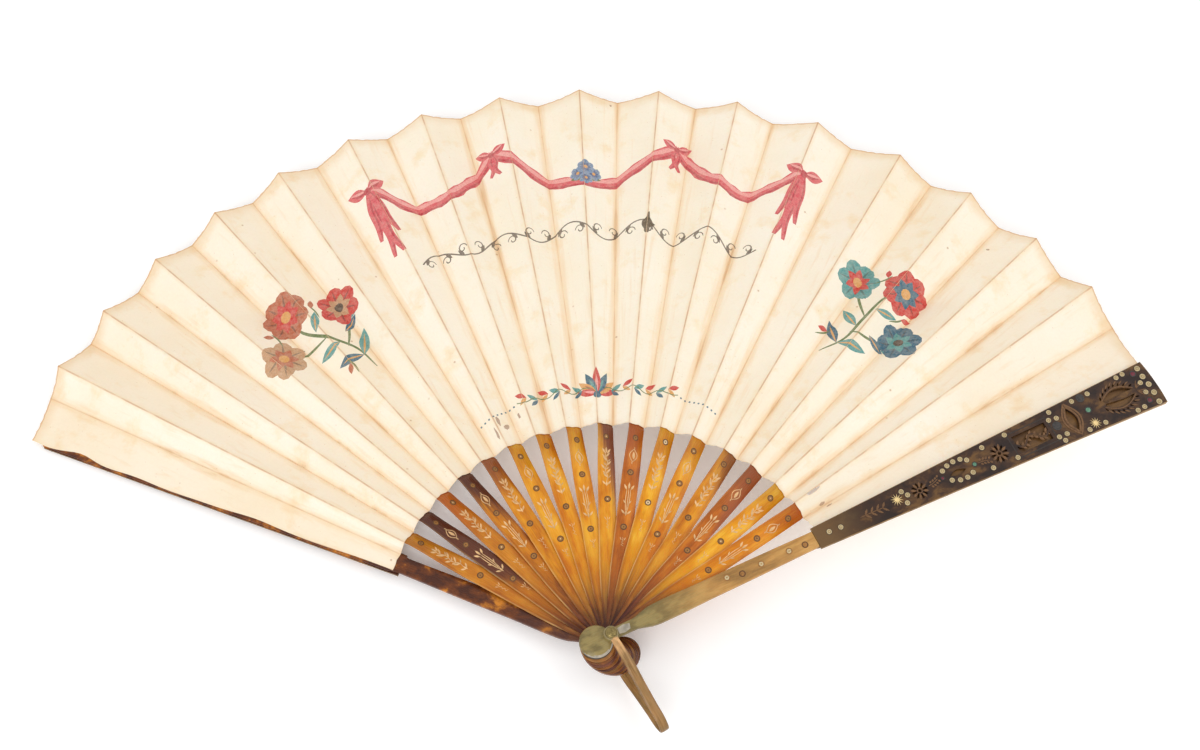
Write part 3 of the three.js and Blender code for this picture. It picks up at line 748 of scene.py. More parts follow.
def plaque_holes():
    holes = []
    for flower_at in PLAQUE_FLOWERS:
        x, y, r = plaque_flower(*flower_at)
        holes.append(turned_outline(pointed_oval(r * 0.18, r * 0.16), x, y))
        holes += [turned_outline(pointed_oval(r * 0.3, r * 0.13), *round_place(x, y, r * 0.64, petal / 8))
                  for petal in range(8)]
    for y, long, wide, turn in ((SLIT, 0.55, 0.19, 0), (EYE, 0.62, 0.24, math.pi / 2)):
        holes.append(turned_outline(pointed_oval(plaque_half(y) * long, plaque_half(y) * wide, 10), 0, y, turn))
    half = plaque_half((WINDOW_START + WINDOW_END) / 2) * 0.48
    for side in (-1, 1):
        wave = [(half * 0.42 * math.sin(3 * math.pi * i / 18) + side * half * 0.16,
                 mix(WINDOW_START, WINDOW_END, i / 18)) for i in range(19)]
        holes.append([(side * half, WINDOW_END), (side * half, WINDOW_START)] + wave)
    for side in (-1, 1):
        path = [(side * WREATH_WIDE * math.sin(math.pi * share), on_wreath(share))
                for share in (mix(0.1, 0.9, step / 16) for step in range(17))]
        for step in range(16, -1, -1):
            share = mix(0.14, 0.86, step / 16)
            swell = mix(0.35, 1.0, math.sin(math.pi * share))
            path.append((side * plaque_half(WREATH) * 0.22 * swell * share, on_wreath(share)))
        holes.append(path)
    leaf = pointed_oval(WREATH_WIDE * 0.26, WREATH_WIDE * 0.09, 5)
    return holes + [turned_outline(leaf, *wreath_leaf(side, mix(0.08, 0.92, i / 7), 0.42))
                    for i in range(8) for side in (-1, 1)]


def offset(outline, by):
    p = np.array(outline, float)
    before, after = p - np.roll(p, 1, 0), np.roll(p, -1, 0) - p
    before /= np.linalg.norm(before, axis=1)[:, None]
    after /= np.linalg.norm(after, axis=1)[:, None]
    out = np.column_stack([before[:, 1] + after[:, 1], -(before[:, 0] + after[:, 0])])
    out /= np.linalg.norm(out, axis=1)[:, None] + 1e-9
    area = np.sum(p[:, 0] * np.roll(p[:, 1], -1) - np.roll(p[:, 0], -1) * p[:, 1])
    return [tuple(v) for v in p + out * by * (1 if area > 0 else -1)]


def inside(points, outline):
    x, y = points[:, 0], points[:, 1]
    found = np.zeros(len(points), bool)
    p = np.array(outline, float)
    for (x0, y0), (x1, y1) in zip(p, np.roll(p, -1, 0)):
        if y0 != y1:
            found ^= ((y0 > y) != (y1 > y)) & (x < x0 + (y - y0) / (y1 - y0) * (x1 - x0))
    return found


def filled(loops):
    """Triangles of the first loop without the others."""
    coords, edges = [], []
    for loop in loops:
        start = len(coords)
        coords += [Vector(v) for v in loop]
        edges += [(start + i, start + (i + 1) % len(loop)) for i in range(len(loop))]
    verts, _, faces, _, _, _ = delaunay_2d_cdt(coords, edges, [], 0, 1e-6)
    v = np.array([tuple(c) for c in verts])
    centres = np.array([v[list(f)].mean(0) for f in faces])
    keep = inside(centres, loops[0])
    for loop in loops[1:]:
        keep &= ~inside(centres, loop)
    return v, [f for f, k in zip(faces, keep) if k]


BEVEL, LIP = 0.22, 0.08


def plaque_shape():
    bow_rise = PLAQUE_TIP * 0.03
    side = [(plaque_half(y), y) for y in np.linspace(PLAQUE_START + 8, GUARD_LENGTH - bow_rise - 8, 18)]
    tip = [(PLAQUE_TIP / 2 * s, GUARD_LENGTH - bow_rise * abs(s) ** 2.2)
           for s in (1, 0.8, 0.5, 0.2, -0.2, -0.5, -0.8, -1)]
    outline = [(-PLAQUE_ROOT / 2, PLAQUE_START), (PLAQUE_ROOT / 2, PLAQUE_START)] + side + tip
    outline += [(-x, y) for x, y in side[::-1]]
    # top face, then bevel, wall and underside
    loops = [outline] + plaque_holes()
    drops = [BEVEL] + [LIP] * (len(loops) - 1)
    top_loops = [offset(outline, -BEVEL)] + [offset(hole, LIP) for hole in loops[1:]]
    (v_top, f_top), (v_low, f_low) = filled(top_loops), filled(loops)
    points = [on_plaque(x, y, 0) for x, y in v_top] + [on_plaque(x, y, -PLAQUE_THICKNESS) for x, y in v_low]
    faces = [tuple(f) for f in f_top] + [tuple(len(v_top) + i for i in reversed(f)) for f in f_low]

    def index_of(verts, start, loop):
        return [start + int(np.argmin(np.sum((verts - np.array(q)) ** 2, 1))) for q in loop]

    for loop, top_loop, drop in zip(loops, top_loops, drops):
        top_index, low_index = index_of(v_top, 0, top_loop), index_of(v_low, len(v_top), loop)
        middle, n = len(points), len(loop)
        points += [on_plaque(x, y, -drop) for x, y in loop]
        for c in range(n):
            d = (c + 1) % n
            faces += [(top_index[c], top_index[d], middle + d, middle + c),
                      (middle + c, middle + d, low_index[d], low_index[c])]
    shape = Shape()
    shape.add(points, faces, 0)
    flat_faces = len(f_top) + len(f_low)
    shape.finishes[flat_faces:flat_faces + 2 * len(outline)] = [1] * 2 * len(outline)
    return shape


# Marks on a guard: places along it and across it, as measured from its middle line
HORN_STUDS = ((48.8, 0.85, True), (54.8, -0.26, False), (63.0, 0.04, True), (74.9, -0.02, True), (81.6, -0.38, False))
PLAQUE_STUDS = (
    (92.4, -0.65), (97.3, -0.91), (125.5, 1.65), (127.1, -0.53), (125.4, -3.34), (144.4, 2.22), (147.1, 3.35),
    (150.1, 3.84), (153.2, 3.55), (155.4, 2.15), (155.0, -3.31), (152.0, -4.21), (148.9, -3.95), (145.9, -2.66),
    (163.5, 4.1), (163.2, -5.13), (174.4, 4.91), (174.2, -5.51), (195.6, 5.63), (193.7, 2.78), (197.0, 2.26),
    (193.7, -5.08), (197.2, -5.22), (195.1, -7.36), (206.5, 5.85), (214, 5.98), (213.8, -7.62), (206.4, -7.57),
    (228.5, 6.98), (231.6, 7.26), (238.5, 6.79), (238.5, 2.91), (236.1, 0.99), (238.8, -0.95), (235.8, -3.34),
    (238.7, -4.82), (238.3, -9.08), (231.7, -8.51), (228.4, -8.73))
GEMS = ((157.3, -0.68, 1.1, 0), (210.5, -0.11, 1.45, 0), (235.6, 5.56, 1.35, 1), (235.2, -6.98, 1.3, 1),
        (143, -0.39, 0.9, 1), (195.4, -0.66, 1.9, 2), (210.3, 5.66, 1.8, 2))
STARS = ((122.4, -0.52, 2.5), (210, -6.15, 2.4))
MIDDLE = 0.8


def guard_studs():
    studs = Shape(on_horn)
    for y, x, pale in HORN_STUDS:
        studs.stud(-x, y, 1.3, int(pale), 2 if pale else 1, 1, 0.14)
    studs.carry = on_plaque
    for y, t in PLAQUE_STUDS:
        radius = 1.3 if y > 237 else 1.12
        x = min(-(t + MIDDLE), plaque_half(y) - 1.3)
        studs.plate(turned_outline(circle(radius * 1.08, 16), x, y), 3, 0.03)
        studs.stud(x, y, radius * 0.9, 2, 4, 2, 0.2)
    return studs


def guard_inlay():
    """Gems, stars and fine lines, with finishes 0 turquoise, 1 ruby, 2 dark, 3 gold, 4 bronze and 5 black."""
    gems = Shape(on_plaque)
    for y, t, r, finish in GEMS:
        gems.stud(-(t + MIDDLE), y, r, 2, finish, None, 0.2)
    for y, t, r in STARS:
        star = [(math.sin(turn) * r * out, math.cos(turn) * r * out)
                for turn, out in ((math.pi * i / 12, 0.3 if i % 2 else 1) for i in range(24))]
        gems.plate(turned_outline(star, -(t + MIDDLE), y, 0.1), 3, 0.1)
    for long_half, wide_half, wide in ((5.9, 2.5, 0.8), (7.0, 3.7, 0.7)):
        gems.ring(turned_outline(pointed_oval(long_half, wide_half, 14), 0, EYE, math.pi / 2), 4, wide, 0.16)
    for flower_at in PLAQUE_FLOWERS:
        x, y, r = plaque_flower(*flower_at)
        for petal in range(8):
            gems.mark(r * 0.34, r * 0.13, 6, *round_place(x, y, r * 0.66, (petal + 0.5) / 8), 4, 0.1)
        gems.ring(turned_outline(circle(r * 0.26, 16), x, y), 4, 0.3, 0.1)
    for foot, tall, lean in ((106.0, 10.0, 0.1), (136.4, 4.6, -0.35), (158.6, 5.0, 0.3)):
        stem = [(lean * 3 * (i / 8) ** 2, mix(foot, foot + tall, i / 8)) for i in range(9)]
        gems.line(stem, 4, 0.34, 0.4, 0.09)
        for x, y in stem[2::2]:
            for side in (-1, 1):
                gems.mark(tall * 0.14, 0.42, 5, x + side * 1.0, y + tall * 0.06, -side * 0.8, 4, 0.09)
    for side in (-1, 1):
        rim = [(side * (WREATH_WIDE * math.sin(math.pi * share) + 0.55), on_wreath(share))
               for share in (mix(0.06, 0.94, i / 18) for i in range(19))]
        gems.line(rim, 4, 0.42, 0.4, 0.12)
        for i in range(7):
            gems.mark(1.25, 0.3, 5, *wreath_leaf(side, mix(0.13, 0.86, i / 6), 0.62), 4, 0.1)
        for i in range(3):
            gems.line(bent(side * 0.4, WREATH + WREATH_LONG, side * (1.2 + i * 1.1),
                           WREATH + WREATH_LONG * (1.42 - 0.1 * i), side * 0.3), 4, 0.34, 0.5, 0.1)
    half = plaque_half(place_on(0.626))
    for i in range(9):
        x = half * 0.2 * math.sin(3 * math.pi * i / 8)
        for side in (-1, 1):
            gems.mark(1.2, 0.5, 6, x + side * 0.7, mix(place_on(0.584), place_on(0.668), i / 8), -side * 0.9, 4, -0.02,
                      -0.5)
    x, low, high = half * 0.62 + 0.5, place_on(0.568), place_on(0.684)
    for path in ((-x - 1, low, x + 1, low), (-x - 1, high, x + 1, high), (-x, low, -x, high), (x, low, x, high)):
        gems.line(bent(*path, 0, 6), 5, 0.45, 0)
    return gems


olive = horn_material("olive_horn", tones((150, 112, 62), (186, 138, 76), (208, 160, 92)), srgb(132, 116, 72), 5.3,
                      0.28, 12.0, 50.0, 0.35, 0.05)
core_horn = horn_material("core_horn", tones((70, 46, 24), (104, 72, 36), (128, 92, 48)), srgb(90, 70, 40), 8.1,
                          0.4, -20.0, 0.0, 0.5, 0.0)
shell = shell_material("dark_shell", tones((74, 36, 20), (112, 58, 22), (206, 128, 34)),
                       (srgb(80, 44, 34), 20, 42, 0.9))
carved = shell_material("carved_shell", tones((36, 20, 14), (62, 38, 22), (106, 74, 36)),
                        (srgb(128, 96, 56), 84, 112, 0.65), 0.09, 0.45)
STUD_FINISHES = [TRIM[key] for key in ("stud_ring", "stud_face", "ivory_stud", "dark_rim", "ivory_face")]
INLAY_FINISHES = [TRIM[key] for key in ("turquoise", "ruby", "dark_disc", "gold_leaf", "bronze_line", "dark_rim")]

for end, level, horn, core, plaque, slots in (("back", 0, shell, shell, shell, ("tortoiseshell", "tortoiseshell")),
                                              ("front", LAST, olive, core_horn, carved, ("olive_horn", "carved_horn"))):
    seat = lambda p, level=level: on_level(p, level, level == 0)
    piece(f"guard_{end}_horn", guard_shape(), BODIES[level], [horn, core, TRIM["highlight_and_wear_patch"], TRIM["dark_disc"]],
          seat, [f"guard_{end}"])
    piece(f"guard_{end}_carving", plaque_shape(), BODIES[level], [plaque, TRIM["edge_horn"]], seat,
          [f"guard_{end}_plaque"], 30.0)
    piece(f"guard_{end}_studs", guard_studs(), BODIES[level], STUD_FINISHES, seat)
    piece(f"guard_{end}_inlay", guard_inlay(), BODIES[level], INLAY_FINISHES, seat)

# Rivet and loop
neck = 2 * RIVET_HALF - RIVET_HEAD_HEIGHT
profile = [(0, 0), (RIVET_HEAD * 0.85, 0), (RIVET_HEAD, RIVET_HEAD_HEIGHT * 0.4), (RIVET_HEAD, RIVET_HEAD_HEIGHT),
           (RIVET_RADIUS, RIVET_HEAD_HEIGHT), (RIVET_RADIUS, neck), (RIVET_HEAD, neck)]
profile += [(RIVET_HEAD * out, neck + RIVET_HEAD_HEIGHT * up) for out, up in (
    (0.98, 0.35), (0.9, 0.55), (0.8, 0.5), (0.72, 0.62), (0.55, 0.82), (0.46, 0.74), (0.4, 0.85), (0.2, 0.97))]
shape = Shape()
shape.add(*lathe(profile + [(0, 2 * RIVET_HALF)]))
piece("rivet_turned", shape, "back_guard", [TRIM["rivet_steel"]], lambda p: p, ["rivet"])

LOOP_HIGH = EYE_BASE + LOOP_THICKNESS / 2
LOOP_SHARES = [(0.2, 1), (0.36, 0.93), (0.55, 0.66), (0.75, 0.46), (0.9, 0.36)]


def catmull(points, steps):
    """A smooth curve through these points, with steps between two of them."""
    q = [np.array(p, float) for p in points]
    p = np.array([2 * q[0] - q[1]] + q + [2 * q[-1] - q[-2]])
    out = []
    for a, b, c, d in zip(p, p[1:], p[2:], p[3:]):
        out += [0.5 * (2 * b + (c - a) * s + (2 * a - 5 * b + 4 * c - d) * s * s + (3 * b - a - 3 * c + d) * s ** 3)
                for s in np.linspace(0, 1, steps, endpoint=False)]
    return np.array(out + [p[-2]])


route = [(0.0, LOOP_HIGH)] + [(a * LOOP_REACH, h * LOOP_HIGH) for a, h in LOOP_SHARES]
line = catmull(route + [(LOOP_REACH - LOOP_THICKNESS / 2, 0.0)] + [(a, -h) for a, h in route[::-1]], 6)
ahead = np.gradient(line, axis=0)
ahead /= np.linalg.norm(ahead, axis=1)[:, None]
travel = np.concatenate([[0], np.cumsum(np.linalg.norm(np.diff(line, axis=0), axis=1))])
rings, own = [], []
for (along, height), (ax, ah), far in zip(line, ahead, travel):
    wide = LOOP_WIDTH / 2 * mix(0.8, 1.0, smooth(along, 2, 14))
    for x, z in oval_section(wide, LOOP_THICKNESS / 2):
        rings.append((along - ah * z, x, height + ax * z))
        own.append((x, min(far, travel[-1] - far), z))
shape = Shape()
shape.add(rings, ring_faces(len(line)), 0, own)
EYE_TOP = EYE_BASE + LOOP_THICKNESS
for side in (1, -1):
    points, faces = lathe([(0, EYE_BASE), (EYE_RADIUS - 0.1, EYE_BASE), (EYE_RADIUS, EYE_BASE + 0.15),
                           (EYE_RADIUS, EYE_TOP - 0.2), (EYE_RADIUS - 0.2, EYE_TOP), (EYE_RADIUS - 0.45, EYE_TOP),
                           (EYE_RADIUS - 0.55, EYE_TOP - 0.12), (EYE_RADIUS - 0.65, EYE_TOP), (0, EYE_TOP)])
    shape.add([(x, y, z * side) for x, y, z in points], faces, 1)
# rim=2.6 gives the band painted shade along its edges
loop_horn = horn_material("loop_horn", tones((104, 78, 44), (140, 108, 64), (168, 126, 78)), srgb(222, 174, 120), 2.2,
                          0.2, -2.0, 18.0, 0.6, 0.05, rim=2.6)
piece("loop_horn_band", shape, "loop", [loop_horn, TRIM["eye_horn"]],
      lambda p: rotated(p, LOOP_ANGLE, RIVET_HALF), ["loop"])


# Leaf: a fold is (height at the axis, angle, climb, reach)
def fold_line(level, side, up, reach=LEAF_RADIUS):
    return (level_height(level), ANGLES[level] + side, up * SLOPE, reach)


def mountain(level):
    return fold_line(level, PLEAT_HALF, 1)


def valley(level):
    return fold_line(level, -PLEAT_HALF, -1)


GUARD_HALF = math.atan(PLAQUE_TIP / 2 / GUARD_LENGTH)
back_edge = fold_line(0, GUARD_HALF, -1, GUARD_LENGTH + PLAQUE_TIP / 4)
back_valley = fold_line(0, -GUARD_HALF, -1)
front_mountain = fold_line(LAST, GUARD_HALF, 1, GUARD_LENGTH)
front_edge = fold_line(LAST, -GUARD_HALF, 1, GUARD_LENGTH)


def on_fold(fold, radius):
    height, angle, climb, _ = fold
    return np.column_stack([radius * math.cos(angle), radius * math.sin(angle), height + climb * radius])


def ripple(x, y, seed):
    """A smooth, seeded waviness of the paper, about -1 to 1."""
    total = 0
    for i in range(5):
        turn = seed * 1.7 + i * 2.4
        long = 34 / (1 + i * 0.45)
        total = total + np.sin((x * math.cos(turn) + y * math.sin(turn)) * 2 * math.pi / long + seed * 3 + i * i)
    return total / 5


# Painting on the leaf: outlines in plan, each with a colour
painting = []
PINK, ROSE, PALE = (218, 84, 94), (188, 50, 66), (242, 160, 156)
TEAL, DEEP, GREEN = (78, 152, 150), (38, 98, 122), (96, 118, 62)
RED, RUST, OCHRE, INK = (204, 42, 38), (186, 98, 62), (222, 160, 84), (70, 50, 36)
VEIN = 0.72
SPRAY_RADIUS, SPRAY_SIZE = 172.0, 1.8


def paint(outline, colour, strength=1.0):
    painting.append((np.array(outline, float), (*srgb(*colour), strength)))


def polar(azimuth, radius):
    a = math.radians(azimuth)
    return radius * math.cos(a), radius * math.sin(a)


class Motif:
    """Paint about a place on the leaf, with +Y out from the rivet."""

    def __init__(self, azimuth, radius, lean=0.0, size=1.0):
        self.frame = (*polar(azimuth, radius), math.radians(azimuth - 90) + lean, size)

    def paint(self, outline, colour, strength=1.0):
        paint(turned_outline(outline, *self.frame), colour, strength)

    def dot(self, radius, steps, colour, x=0.0, y=0.0):
        self.paint(turned_outline(circle(radius, steps), x, y), colour)

    def petal(self, length, width, steps, x, y, turn, colour, strength=1.0):
        """A petal from its foot at (x, y)."""
        form = [(px, py + length / 2) for px, py in pointed_oval(length / 2, width / 2, steps)]
        self.paint(turned_outline(form, x, y, turn), colour, strength)

    def brush(self, path, wide, colour, ends=0.25, strength=1.0):
        n = len(path)
        widths = [wide * mix(ends, 1, math.sin(math.pi * i / (n - 1)) ** 0.7) for i in range(n)]
        self.paint(stroke_outline(path, widths), colour, strength)

    def flower(self, x, y, size, outer, inner, heart, petals, lean=0.0):
        """A flower of round petals with a darker vein each, round a smaller star and a heart."""
        round_petal = [(px * 0.42, py * 0.5 + size * 0.5) for px, py in circle(size, 11)]
        for i in range(petals):
            turn = lean + 2 * math.pi * i / petals
            self.paint(turned_outline(round_petal, x, y, turn), outer)
            self.petal(size * 0.9, size * 0.1, 4, x, y, turn, tuple(c * VEIN for c in outer))
        for i in range(petals):
            self.petal(size * 0.62, size * 0.36, 5, x, y, lean + math.pi * (2 * i + 1) / petals, inner)
        self.dot(size * 0.22, 10, heart, x, y)


def ribbon_swag(left, right, sag, wide):
    """A ribbon hung between two (azimuth, radius) points, with a lit middle and shaded edges."""
    path = [polar(mix(left[0], right[0], s), mix(left[1], right[1], s) - sag * math.sin(math.pi * s)
                  + 0.5 * math.sin(s * 19)) for s in (i / 24 for i in range(25))]
    widths = [wide * (0.72 + 0.28 * math.sin(i * 0.9) ** 2) for i in range(25)]
    for shift, share, colour in ((0, 1, PINK), (0.22, 0.35, PALE), (-0.36, 0.2, ROSE)):
        paint(stroke_outline(np.array(path) * (1 + shift * wide / 210), [w * share for w in widths]), colour)


def bow(azimuth, radius, size, tails):
    at = Motif(azimuth, radius)
    for side in (-1, 1):
        for i, long in enumerate(tails):
            tail = catmull([(0, 0), (side * (1.2 + i), -long * 0.35), (side * (0.4 + 2.2 * i), -long * 0.7),
                            (side * (2.2 + 2.0 * i), -long)], 5)
            at.brush(tail, size * 0.52, PINK, 0.5)
            at.brush(tail + [size * 0.1, 0], size * 0.14, ROSE, 0.4)
        at.petal(size * 1.6, size * 0.95, 7, 0, 0, side * -1.25, PINK)
        at.petal(size * 1.2, size * 0.5, 6, side * 0.3, 0.1, side * -1.2, ROSE)
        at.petal(size * 1.35, size * 0.22, 5, side * 0.2, 0.5, side * -1.2, PALE)
    at.dot(size * 0.3, 10, ROSE)


def spray(azimuth, lean, colours):
    """A spray of three flowers with leaves on a bent stem."""
    at = Motif(azimuth, SPRAY_RADIUS, lean, SPRAY_SIZE)
    at.brush(catmull([(0, -13), (1.5, -7), (0.3, -1), (-1.0, 6), (0.5, 12)], 5), 0.7, GREEN)
    for x, y, bx, by in ((0.8, -5, 9, 2), (0.0, 0, -9, 6)):
        at.brush(catmull([(x, y), ((x + bx) / 2, y + 2.6), (bx, by)], 5), 0.6, GREEN)
    for x, y, turn, long, colour in ((1, -9, -1.0, 7, TEAL), (1, -9, 1.1, 6.5, DEEP), (0.6, -3, 1.3, 6, TEAL),
                                     (4, -2, -1.5, 5, DEEP), (0, 3, -0.9, 5.4, TEAL), (-4, 4, 1.2, 5, DEEP),
                                     (-0.6, 8, 0.9, 4.4, TEAL), (6.5, 0.8, -2.2, 4, TEAL)):
        at.petal(long, long * 0.36, 6, x, y, turn, colour)
        at.petal(long * 0.85, long * 0.07, 4, x, y, turn, OCHRE)
    at.flower(0.6, 12, 5.6, colours[0], colours[1], OCHRE, 7)
    at.flower(9, 3, 5.0, colours[1], colours[2], INK, 6, 0.4)
    at.flower(-9, 6, 5.2, colours[2], colours[0], OCHRE, 6, 0.2)
    for x, y, turn in ((4.6, 7.5, -0.9), (-5, 11.5, 0.7), (-3, -8, 2.2)):
        at.brush(catmull([(x - 1, y - 3), (x, y - 1), (x + 0.3, y + 1)], 5), 0.4, GREEN)
        at.petal(2.4, 1.3, 5, x, y, turn, colours[0])


HANGERS = ((116.0, 223.0), (101.5, 224.0), (80.5, 224.0), (66.0, 223.0))
for left, right, sag in zip(HANGERS, HANGERS[1:], (17.0, 21.0, 17.0)):
    ribbon_swag(left, right, sag, 5.8)
for hanger in (HANGERS[0], HANGERS[3]):
    bow(*hanger, 5.6, (34.0, 24.0))
for hanger in HANGERS[1:3]:
    bow(*hanger, 4.4, (11.0,))
at = Motif(91.0, 206.0)
for i in range(9):
    at.petal(8.5 - abs(i - 4) * 0.5, 2.6, 6, 0, -1, -1.6 + 3.2 * i / 8, (GREEN, TEAL)[i % 2])
for x, y, size in ((-3.4, 1.2, 3.4), (3.4, 1.2, 3.4), (0, 4.0, 3.8), (0, -1.6, 3.0)):
    at.flower(x, y, size, (120, 146, 178), (70, 96, 140), OCHRE, 6, x)
spray(130.5, 0.35, (RUST, RED, (196, 150, 110)))
spray(50.5, -0.3, (RED, DEEP, TEAL))

# a pen-drawn vine between the sprays and a palmette border near the gorge
VINE_START, VINE_END, VINE_RADIUS, VINE_SWAY, VINE_WAVES = 114.0, 68.0, 180, 4.2, 5


def vine_sway(share):
    return math.sin(share * 2 * math.pi * VINE_WAVES)


vine = [polar(mix(VINE_START, VINE_END, i / 120), VINE_RADIUS + VINE_SWAY * vine_sway(i / 120)) for i in range(121)]
paint(stroke_outline(vine, [0.6] * len(vine)), INK, 0.9)
for i in range(20):
    share = (i + 0.5) / 20
    rise = vine_sway(share)
    at = Motif(mix(VINE_START, VINE_END, share), VINE_RADIUS + VINE_SWAY * rise)
    side = 1 if i % 2 == 0 else -1
    shift = -3.4 if rise > 0 else 3.4
    at.brush([(0.9 * math.cos(t) * (1 - t / 9) * side * 2.2, 2.3 * (1 - t / 9) * math.sin(t) + shift)
              for t in np.linspace(0, 6.5, 16)], 0.55, INK, 0.5, 0.9)
    at.petal(4.2, 1.4, 5, 0, 0, (0.5 if rise < 0 else 2.6) * side, INK, 0.9)

at = Motif(91.0, 101.5)
for i, (outer, inner) in enumerate(((RED, PALE), (OCHRE, RUST), (DEEP, TEAL), (RED, PALE), (DEEP, TEAL), (OCHRE, RUST),
                                    (RED, PALE))):
    turn = -1.2 + 2.4 * i / 6
    at.petal(12.5 - abs(i - 3) * 1.3, 3.2, 6, 0, 0, turn, outer)
    at.petal(8.5 - abs(i - 3) * 1.0, 1.1, 5, 0, 0.5, turn, inner)
at.dot(1.5, 12, DEEP)
for side in (-1, 1):
    for i in range(6):
        at = Motif(91.0 - side * (3.2 + i * 2.5), 104.5 + 1.3 * (i % 2))
        at.petal(4.8, 2.0, 5, 0, 0, side * -1.0, (TEAL, RED)[i % 2])
        at.petal(4.0, 1.6, 5, 0, 0, side * -2.2, (DEEP, OCHRE)[i % 2])
    laurel = [polar(91.0 - side * mix(1.5, 18, i / 24), 104.8 + 0.9 * math.sin(i * 0.8)) for i in range(25)]
    paint(stroke_outline(laurel, [0.4] * 25), GREEN)
    for i in range(9):
        Motif(91.0 - side * (18.8 + i * 1.05), 104.5 - 0.25 * i).dot(0.42, 8, DEEP)

# a dark blot on a fold, a tear near the gorge, and scuffs
rng = np.random.default_rng(7)


def worn_spot(azimuth, radius, half_wide, half_long):
    spot = [(half_wide * math.cos(t) * rng.uniform(0.7, 1.3), half_long * math.sin(t) * rng.uniform(0.75, 1.25))
            for t in np.linspace(0, 2 * math.pi, 15)[:-1]]
    return turned_outline(spot, *Motif(azimuth, radius).frame)


Motif(83.1, 181.6).paint([(0.2, 6.3), (0.6, 5.6), (0.7, 4.0), (0.9, 3.2), (1.7, 2.2), (2.2, 1.2), (3.4, 0.7),
                          (2.6, -0.2), (1.6, -0.8), (1.0, -1.8), (1.0, -3.2), (0.5, -4.3), (-0.6, -4.4), (-1.1, -3.4),
                          (-1.2, -2.0), (-1.9, -1.2), (-2.4, 0.2), (-2.3, 1.9), (-1.1, 2.7), (-0.4, 3.6),
                          (-0.2, 5.2)], (78, 60, 30))
TEAR = np.array(worn_spot(34.7, 97.8, 0.6, 3.2))
for scuff in ((114.5, 101, 0.7, 2.4), (113.2, 97.5, 1.0, 1.2), (116.0, 96, 0.4, 2.8), (109.5, 100.0, 0.5, 1.2),
              (31.5, 98.5, 0.5, 1.3), (30.3, 100.5, 0.3, 1.4), (88.0, 247, 0.5, 0.5), (45.0, 236, 0.7, 0.5)):
    paint(worn_spot(*scuff), (150, 104, 78), 0.75)


def paper_material():
    m = Material("leaf_paper", 0.75, Subsurface_Weight=0.05, Subsurface_Scale=0.001)
    plan = m.attribute("plan")
    ridge, groove, shade = m.xyz(m.attribute("crease"))
    x, _, reach = m.xyz(plan)
    flat = m.scaled(plan, (1, 1, 0))
    cloud = m.noise(flat, 0.018, 4.0, 0.6)
    blotch = m.noise(flat, 0.07, 5.0, 0.65)
    fibre = m.noise(flat, 0.9, 4.0, 0.7)
    m.colour = m.ramp(cloud, (0.3, srgb(247, 237, 216)), (0.5, srgb(250, 243, 227)), (0.7, srgb(252, 247, 235)))
    m.darken(0.7, m.ramp(blotch, (0.55, (1, 1, 1)), (0.68, srgb(251, 238, 216)), (0.8, srgb(240, 214, 178))))
    m.darken(shade, srgb(252, 224, 194))
    # toning beside the folds, toning with painted shade along the valley folds, and toning along the outer edge and
    # along the gorge
    near = m.plus(m.math("MINIMUM", ridge, groove), m.times(blotch, 5.0))
    m.lay(m.spread(near, 1.8, 4.8, 0.45, 0.0), srgb(243, 214, 168))
    # streaks and broad, wavy bands beside the valley folds: toning, and painted shade in the hollow of each valley
    streak = m.noise(m.node("CombineXYZ", {0: m.times(groove, 0.32), 1: m.times(reach, 0.022),
                                           2: m.times(x, 0.06)})[0], 1.0, 3.0, 0.6)
    m.lay(m.spread(m.plus(groove, m.times(streak, 11.0)), 4.2, 9.5, 0.6, 0.0), srgb(238, 204, 160))
    m.lay(m.spread(m.plus(groove, m.times(streak, 10.0)), 3.2, 5.4, 0.55, 0.0), srgb(212, 166, 114))
    m.lay(m.spread(streak, 0.56, 0.78, 0.0, 0.4), srgb(240, 208, 168))
    wander = m.times(blotch, 9.0)
    m.lay(m.times(m.spread(m.plus(reach, wander), 248.0, 255.0), 0.55), srgb(232, 196, 146))
    m.lay(m.times(m.spread(m.math("SUBTRACT", reach, wander), 87.0, 82.0), 0.5), srgb(228, 190, 140))
    m.lay(m.spread(reach, 249.2, 249.6, 0.0, 0.5), srgb(196, 146, 98))
    crease = m.math("MAXIMUM", m.spread(ridge, 0.1, 0.45, 0.5, 0.0), m.spread(groove, 0.1, 0.5, 0.25, 0.0))
    m.lay(m.times(crease, m.spread(m.noise(flat, 0.12, 2.0), 0.35, 0.6, 0.35, 1.0)), srgb(190, 134, 92))
    # foxing
    for scale, low, high, tint, amount in ((0.12, 0.035, 0.075, (176, 126, 78), 0.55),
                                           (0.45, 0.05, 0.11, (196, 150, 100), 0.4)):
        spots = m.node("TexVoronoi", {"Vector": flat, "Scale": scale})
        picked = m.spread(m.xyz(spots["Color"])[0], 0.55, 0.75)
        m.lay(m.times(m.spread(spots["Distance"], low, high, amount, 0.0), picked), srgb(*tint))
    m.lay(m.spread(fibre, 0.35, 0.8, 0.0, 0.12), srgb(222, 200, 168))
    # painted motifs
    painted = m.node("VertexColor", layer_name="paint")
    ink = m.mixed(m.spread(m.noise(flat, 0.35, 4.0, 0.6), 0.35, 0.7, 0.0, 0.14), painted[0], srgb(250, 236, 214))
    ink = m.mixed(m.spread(m.noise(flat, 1.6, 3.0, 0.7), 0.42, 0.66, 0.0, 0.45), ink, srgb(196, 176, 160), "MULTIPLY")
    m.lay(m.times(painted[1], m.spread(fibre, 0.3, 0.7, 1.0, 0.86)), ink)
    return m.finished(m.plus(m.times(fibre, 0.6), m.noise(flat, 2.6, 2.0)), 0.07, 0.5)


paper = paper_material()
LEAF_STEP, RIM_STEP = 2.6, 1.2
RIM_CLEAR, FOLD_SHARE = 0.7, 0.04
CLEAR = 0.03
MARGIN = 2.0
MERGED = 2e-3
BLANK = (0.9, 0.85, 0.75)
